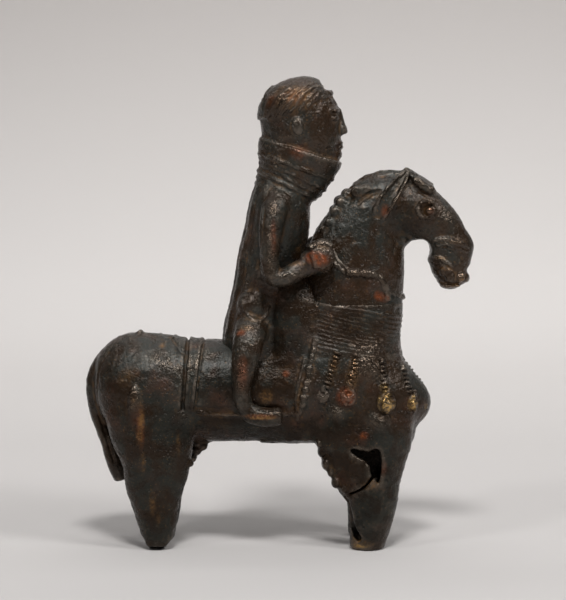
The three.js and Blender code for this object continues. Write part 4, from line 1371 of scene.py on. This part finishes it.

# Where the film is worn, where the earth has stayed, and where shade and highlights are painted, by the
# picture's pixels:
# x, y, reach across and reach up in millimetres, and strength.
PAINT = {
    # Painted shade, where the figure lies in shade.
    "painted_shade": [
        (336, 425, 12, 9, 1), (352, 462, 10, 9, 1), (222, 432, 22, 7, 0.9), (280, 435, 20, 6, 0.9),
        (408, 228, 8, 7, 0.8), (412, 215, 6, 6, 0.5), (340, 325, 9, 9, 1), (375, 325, 9, 9, 0.9),
        (220, 380, 12, 12, 0.8), (285, 335, 8, 12, 0.7), (276, 374, 9, 10, 1), (252, 288, 4, 4, 0.7),
        (110, 380, 10, 14, 0.5), (122, 430, 9, 14, 0.3), (165, 430, 12, 14, 0.3), (272, 300, 7, 5, 0.6),
        (300, 300, 9, 9, 0.6), (285, 230, 4, 12, 0.4), (365, 500, 8, 12, 0.5), (160, 520, 8, 9, 0.4),
    ],
    # Polished places, which also carry a painted highlight.
    "polish_and_painted_highlight": [
        (390, 402, 3.4, 3.6, 0.5), (414, 402, 2, 3, 0.5), (348, 395, 2.4, 2.4, 0.35),
        (334, 361, 1.8, 3, 0.7), (330, 373, 1.8, 3, 0.7), (355, 365, 1.8, 3, 0.8), (351, 379, 1.8, 3, 0.8),
        (383, 366, 1.6, 4, 0.9), (323, 396, 2.6, 2.6, 0.5), (405, 371, 1.4, 4, 0.6), (276, 258, 2, 3, 0.6),
        (270, 264, 1.4, 3, 0.8), (290, 275, 6, 1.4, 0.8), (432, 204, 1.6, 1.6, 0.8),
        (431, 209.7, 1.4, 1.4, 0.8), (408, 178, 1.4, 2, 1), (402, 186, 1, 2, 0.9), (398, 194, 1, 2, 0.9),
        (396, 203, 1, 2, 0.8), (391, 212, 1, 2, 0.7), (398, 181, 1, 1.6, 0.8), (388, 188, 1, 1.6, 0.8),
        (380, 196, 1, 1.6, 0.7), (163, 358, 4, 3.4, 1), (148, 355, 3, 2.5, 0.5), (178, 371, 2, 4, 0.6),
        (192, 362, 2.5, 6, 0.9), (134, 401, 2, 5, 1), (369, 366, 5, 6, 1), (337, 413, 3.4, 3, 1),
        (311, 350, 2.2, 4, 0.6), (308, 375, 2.2, 6, 0.6), (302, 400, 2, 6, 0.5), (380, 423, 4.5, 3.5, 0.9),
        (273, 205, 2.5, 4, 0.9), (271, 240, 1.6, 12, 0.8), (253, 340, 4, 3.5, 0.3), (240, 378, 2.2, 9, 1),
        (276, 412, 5, 1.6, 0.8), (321, 246, 3.6, 2.2, 1), (385, 280, 3, 2, 0.5), (355, 274, 5, 1.5, 0.8),
        (405, 185, 3.5, 5, 0.6), (450, 215, 5, 6, 0.7), (455, 243, 6, 1.6, 0.8), (440, 262, 3, 2, 0.8),
        (461, 279, 2.4, 2.4, 0.9), (280, 100, 3, 3, 0.9), (278, 140, 2, 1.2, 1), (290, 137, 5, 1, 0.7),
        (278, 165, 6, 3, 0.7), (268, 188, 6, 3, 0.7), (372, 346, 9, 2.2, 0.8), (250, 325, 4, 2, 0.6),
        (205, 352, 4, 3, 0.5), (336, 205, 3, 3, 0.6), (415, 180, 4, 3, 0.6), (176, 340, 3, 2, 0.6),
        (178, 400, 3, 6, 0.4), (187, 418, 3, 2, 0.5),
    ],
    "red": [
        (318, 261, 3.6, 2.6, 1), (308, 256, 2.4, 2.2, 0.8), (347.7, 397, 3.6, 3.8, 1),
        (348, 399, 2.4, 2.4, 1), (363, 437, 1.6, 1.6, 1), (275, 236, 1.4, 9, 0.5),
        (240, 331, 2.2, 1.6, 0.7), (242, 372, 2.4, 7, 0.6), (262, 418, 6, 1.1, 0.9),
        (286, 372, 1.4, 1.4, 0.8), (268, 100, 5, 4, 0.3), (290, 92, 4, 4, 0.25), (300, 98, 4, 3, 0.3),
        (380, 296, 1.8, 2, 0.8), (431.7, 209.7, 1.8, 1.8, 0.6), (384, 212, 1.8, 3, 0.6),
        (387, 300, 2, 2, 0.6), (134, 420, 3, 8, 0.25), (140, 430, 1.6, 9, 0.45), (150, 510, 2, 6, 0.12),
        (136, 372, 5, 4, 0.2), (300, 150, 5, 4, 0.4), (340, 480, 4, 5, 0.25), (383, 470, 2, 4, 0.5),
    ],
    "ochre": [
        (334, 361, 2, 4, 0.5), (355, 366, 2, 5, 0.5), (351, 380, 2, 4, 0.4), (130, 372, 4, 3, 0.3),
        (122, 380, 3, 3, 0.3), (140, 420, 1.1, 6, 1), (139, 440, 1, 4, 0.7), (142, 464, 1, 5, 0.5),
        (151, 505, 1.2, 5, 0.6), (159, 520, 1, 3, 0.5), (179, 445, 1, 5, 0.5), (333, 365, 1.6, 5, 0.5),
        (328, 380, 1.6, 4, 0.5), (354, 368, 1.7, 5, 0.55), (350, 382, 1.7, 4, 0.6), (424, 209, 2, 2.6, 0.7),
        (463, 281, 1.4, 2, 0.8), (455, 287, 3, 1, 0.6), (444, 269, 2.4, 1.2, 0.7), (438, 259, 3, 1, 0.6),
        (134, 402, 1.4, 3, 0.6), (372, 482, 3, 1.8, 0.8), (367, 488, 3, 1.4, 0.6),
        (360, 545, 4.5, 1.6, 0.8), (353, 544, 2.5, 2.6, 0.8), (224, 413, 9, 0.8, 0.6),
        (297, 403, 0.9, 7, 0.4), (266, 398, 2.6, 2.4, 1), (262, 418, 6, 1.2, 0.6), (288, 92, 8, 6, 0.35),
        (303, 96, 4, 4, 0.4), (372, 194, 6, 1.2, 0.5), (295, 262, 4.5, 1, 0.6), (162, 344, 1.4, 1.4, 0.7),
        (258, 318, 5, 1, 0.5), (245, 326, 3, 1.5, 0.5), (440, 285, 5, 2.5, 0.35), (455, 241, 7, 1, 0.35),
        (220, 425, 6, 2, 0.3), (300, 250, 2, 1.2, 0.5),
    ],
    "brass": [
        (389.4, 403.3, 3.6, 3.8, 1), (413.8, 403.3, 2.2, 3.2, 0.9), (386, 386, 1.8, 1.6, 0.6),
        (427.8, 406, 1.4, 2.4, 0.35), (360, 548, 4.5, 0.9, 0.5), (262, 419, 7, 0.9, 0.4),
    ],
}


RAY_REACH = 0.8  # how near a camera ray a point counts as met


def mark(piece, label, values):
    """Gives each point of a piece a value that its material can read."""
    layer = piece.data.attributes.new(label, "FLOAT", "POINT")
    layer.data.foreach_set("value", values.astype(np.float32))


def paint(pieces):
    """Marks the worn and earthy places of all the pieces, and where shade and highlights are painted, on both
    sides of the figure.
    """
    clouds = []
    for piece in pieces:
        points = np.empty(len(piece.data.vertices) * 3, np.float32)
        piece.data.vertices.foreach_get("co", points)
        clouds.append(points.reshape(-1, 3).astype(float) / MM)
    for label, marks in PAINT.items():
        centres = []
        for (x, y, *_), ray in zip(marks, rays([mark[:2] for mark in marks])):
            best = None
            for points in clouds:
                ahead = (points - EYE_AT) @ ray
                away = np.linalg.norm(points - EYE_AT - ahead[:, None] * ray, axis=1)
                near = away < RAY_REACH
                if near.any() and (best is None or ahead[near].min() < best[0]):
                    k = ahead[near].argmin()
                    best = (ahead[near][k], points[near][k])
            centres.append(best and best[1])
        for piece, points in zip(pieces, clouds):
            folded = np.stack([points[:, 0], -np.abs(points[:, 1]), points[:, 2]], 1)
            total = np.zeros(len(points))
            for (_, _, across, up, strength), centre in zip(marks, centres):
                if centre is None:
                    continue
                d = (folded - centre) / [across, max(across, 2), up]
                total += strength * np.exp(-d[:, 0] ** 2 - d[:, 1] ** 2 - d[:, 2] ** 2)
            mark(piece, label, np.clip(total, 0, 1))


DENTS = [(0.22, 9.0, 1), (0.13, 3.6, 2), (0.09, 1.5, 3)]  # depth, size and seed
PITS = {"size": 2.6, "share": 0.10, "seed": 4}
PIT_DEPTH = 0.3
HOLLOWS = [("near_hollow", 1.2), ("wide_hollow", 4.0)]  # attribute, and how far round a point is looked


def finished(name, parts, grain):
    """A piece: its parts melted into one skin, hammered and pitted as an old casting is."""
    points, triangles, edges = melted(parts, grain)
    points = relaxed(points, edges, 3)
    normals, _ = normals_of(points, triangles)
    dents = sum(depth * ripple(points, size, seed) for depth, size, seed in DENTS)
    points = points + (dents - PIT_DEPTH * pocks(points, **PITS))[:, None] * normals
    points[:, 2] = np.maximum(points[:, 2], 0)
    points, triangles = fewer(points, triangles, MOST_TRIANGLES)
    normals, area = normals_of(points, triangles)
    piece = mesh_piece(name, points, triangles)
    for label, reach in HOLLOWS:
        mark(piece, label, np.clip(hollowness(points, normals, area, reach), -1, 1))
    piece.data.materials.append(bronze)
    piece.data.shade_smooth()
    return piece


bronze = bronze_material()
cord = cord_tree()
coils = coil_tree()

body, head = horse_clay(), head_clay()
strings, bridle = bead_strings(body), reins(head)
pieces = [horse_body(body), horse_head(head), neck_collar(), strings, rider(), bridle]
paint(pieces)
for piece in pieces:
    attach(piece, "root")
    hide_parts("horse_and_rider")


# The studio

FLOOR_FRONT, FLOOR_BACK = -1.4, 0.55  # metres
FLOOR_HALF = 2.2
BEND = 0.45  # the radius by which the floor turns up into the wall
WALL_TOP = 1.8
PAPER = (0.61, 0.585, 0.57, 1)
# Painted light and shade on the paper: lighter towards the back, darker up the wall.
PAPER_PAINTED_LIGHT_AND_SHADE = [("Y", 0.25, 0.75, (0.75, 0.72, 0.70, 1)), ("Z", 0.02, 0.27, (0.50, 0.472, 0.455, 1))]
MIDDLE = (0, 0, 0.1)
LAMPS = [  # name, place, aim, breadth and height in metres, and watts
    ("key", (0.02, -0.56, 1.04), MIDDLE, (0.2, 0.2), 6.9),
    ("left", (-0.62, -0.55, 0.8), MIDDLE, (0.14, 0.14), 1.7),
    ("side", (0.70, -0.46, 0.84), MIDDLE, (0.28, 0.28), 4.2),
    ("top", (0.1, 0.2, 1.5), MIDDLE, (0.9, 0.7), 1.4),
    ("wall_wash", (0.1, 0.35, 0.75), (0, 1.0, 0.1), (1.4, 0.3), 4.4),
]
AIR_COLOUR, AIR_STRENGTH = (0.9, 0.92, 0.95, 1), 0.08


def paper_material():
    """Pale paper, with painted light that makes it a little lighter towards the back and painted shade that
    makes it darker up the wall.
    """
    paper = bpy.data.materials.new("pale_paper")
    paper.use_nodes = True
    tree = paper.node_tree
    place = add_node(tree, "ShaderNodeTexCoord").outputs["Object"]
    axes = add_node(tree, "ShaderNodeSeparateXYZ", {0: place}).outputs
    shade = PAPER
    for axis, start, end, colour in PAPER_PAINTED_LIGHT_AND_SHADE:
        share = add_node(tree, "ShaderNodeMapRange", {"Value": axes[axis], 1: start, 2: end}).outputs[0]
        inputs = {"Factor_Float": share, "A_Color": shade, "B_Color": colour}
        mixed = add_node(tree, "ShaderNodeMix", inputs, data_type="RGBA")
        shade = next(s for s in mixed.outputs if s.identifier == "Result_Color")
    shader = tree.nodes["Principled BSDF"]
    tree.links.new(shade, shader.inputs["Base Color"])
    shader.inputs["Roughness"].default_value = 0.9
    return paper


def studio_floor():
    """A sheet of paper that turns up into a wall behind the figure."""
    turns = np.radians(np.arange(6, 91, 6))
    bend = [(FLOOR_BACK + BEND * math.sin(a), BEND - BEND * math.cos(a)) for a in turns]
    profile = [(FLOOR_FRONT, 0.0), (FLOOR_BACK, 0.0), *bend, (FLOOR_BACK + BEND, WALL_TOP)]
    points = [(x, y, z) for y, z in profile for x in (-FLOOR_HALF, FLOOR_HALF)]
    faces = [(2 * k, 2 * k + 1, 2 * k + 3, 2 * k + 2) for k in range(len(profile) - 1)]
    mesh = bpy.data.meshes.new("studio_floor")
    mesh.from_pydata(points, [], faces)
    mesh.shade_smooth()
    mesh.materials.append(paper_material())
    in_scene("studio_floor", mesh)


def lighting():
    for name, at, aim, size, power in LAMPS:
        light = bpy.data.lights.new(name, "AREA")
        light.shape = "RECTANGLE"
        light.size, light.size_y = size
        light.energy = power
        holder = in_scene(name, light)
        holder.location = at
        holder.rotation_euler = (Vector(at) - Vector(aim)).to_track_quat("Z", "Y").to_euler()
    world = bpy.data.worlds.new("studio_air")
    bpy.context.scene.world = world
    world.use_nodes = True
    air = world.node_tree.nodes["Background"].inputs
    air["Color"].default_value = AIR_COLOUR
    air["Strength"].default_value = AIR_STRENGTH


def camera():
    lens = bpy.data.cameras.new("camera")
    lens.sensor_fit = "VERTICAL"
    lens.sensor_height = SENSOR_HEIGHT
    lens.lens = LENS
    lens.clip_start = 0.05
    eye = in_scene("camera", lens)
    eye.location = EYE_AT * MM
    eye.rotation_euler = (EYE_TILT, 0, 0)
    bpy.context.scene.camera = eye


studio_floor()
lighting()
camera()
bpy.context.scene.view_settings.view_transform = "Standard"
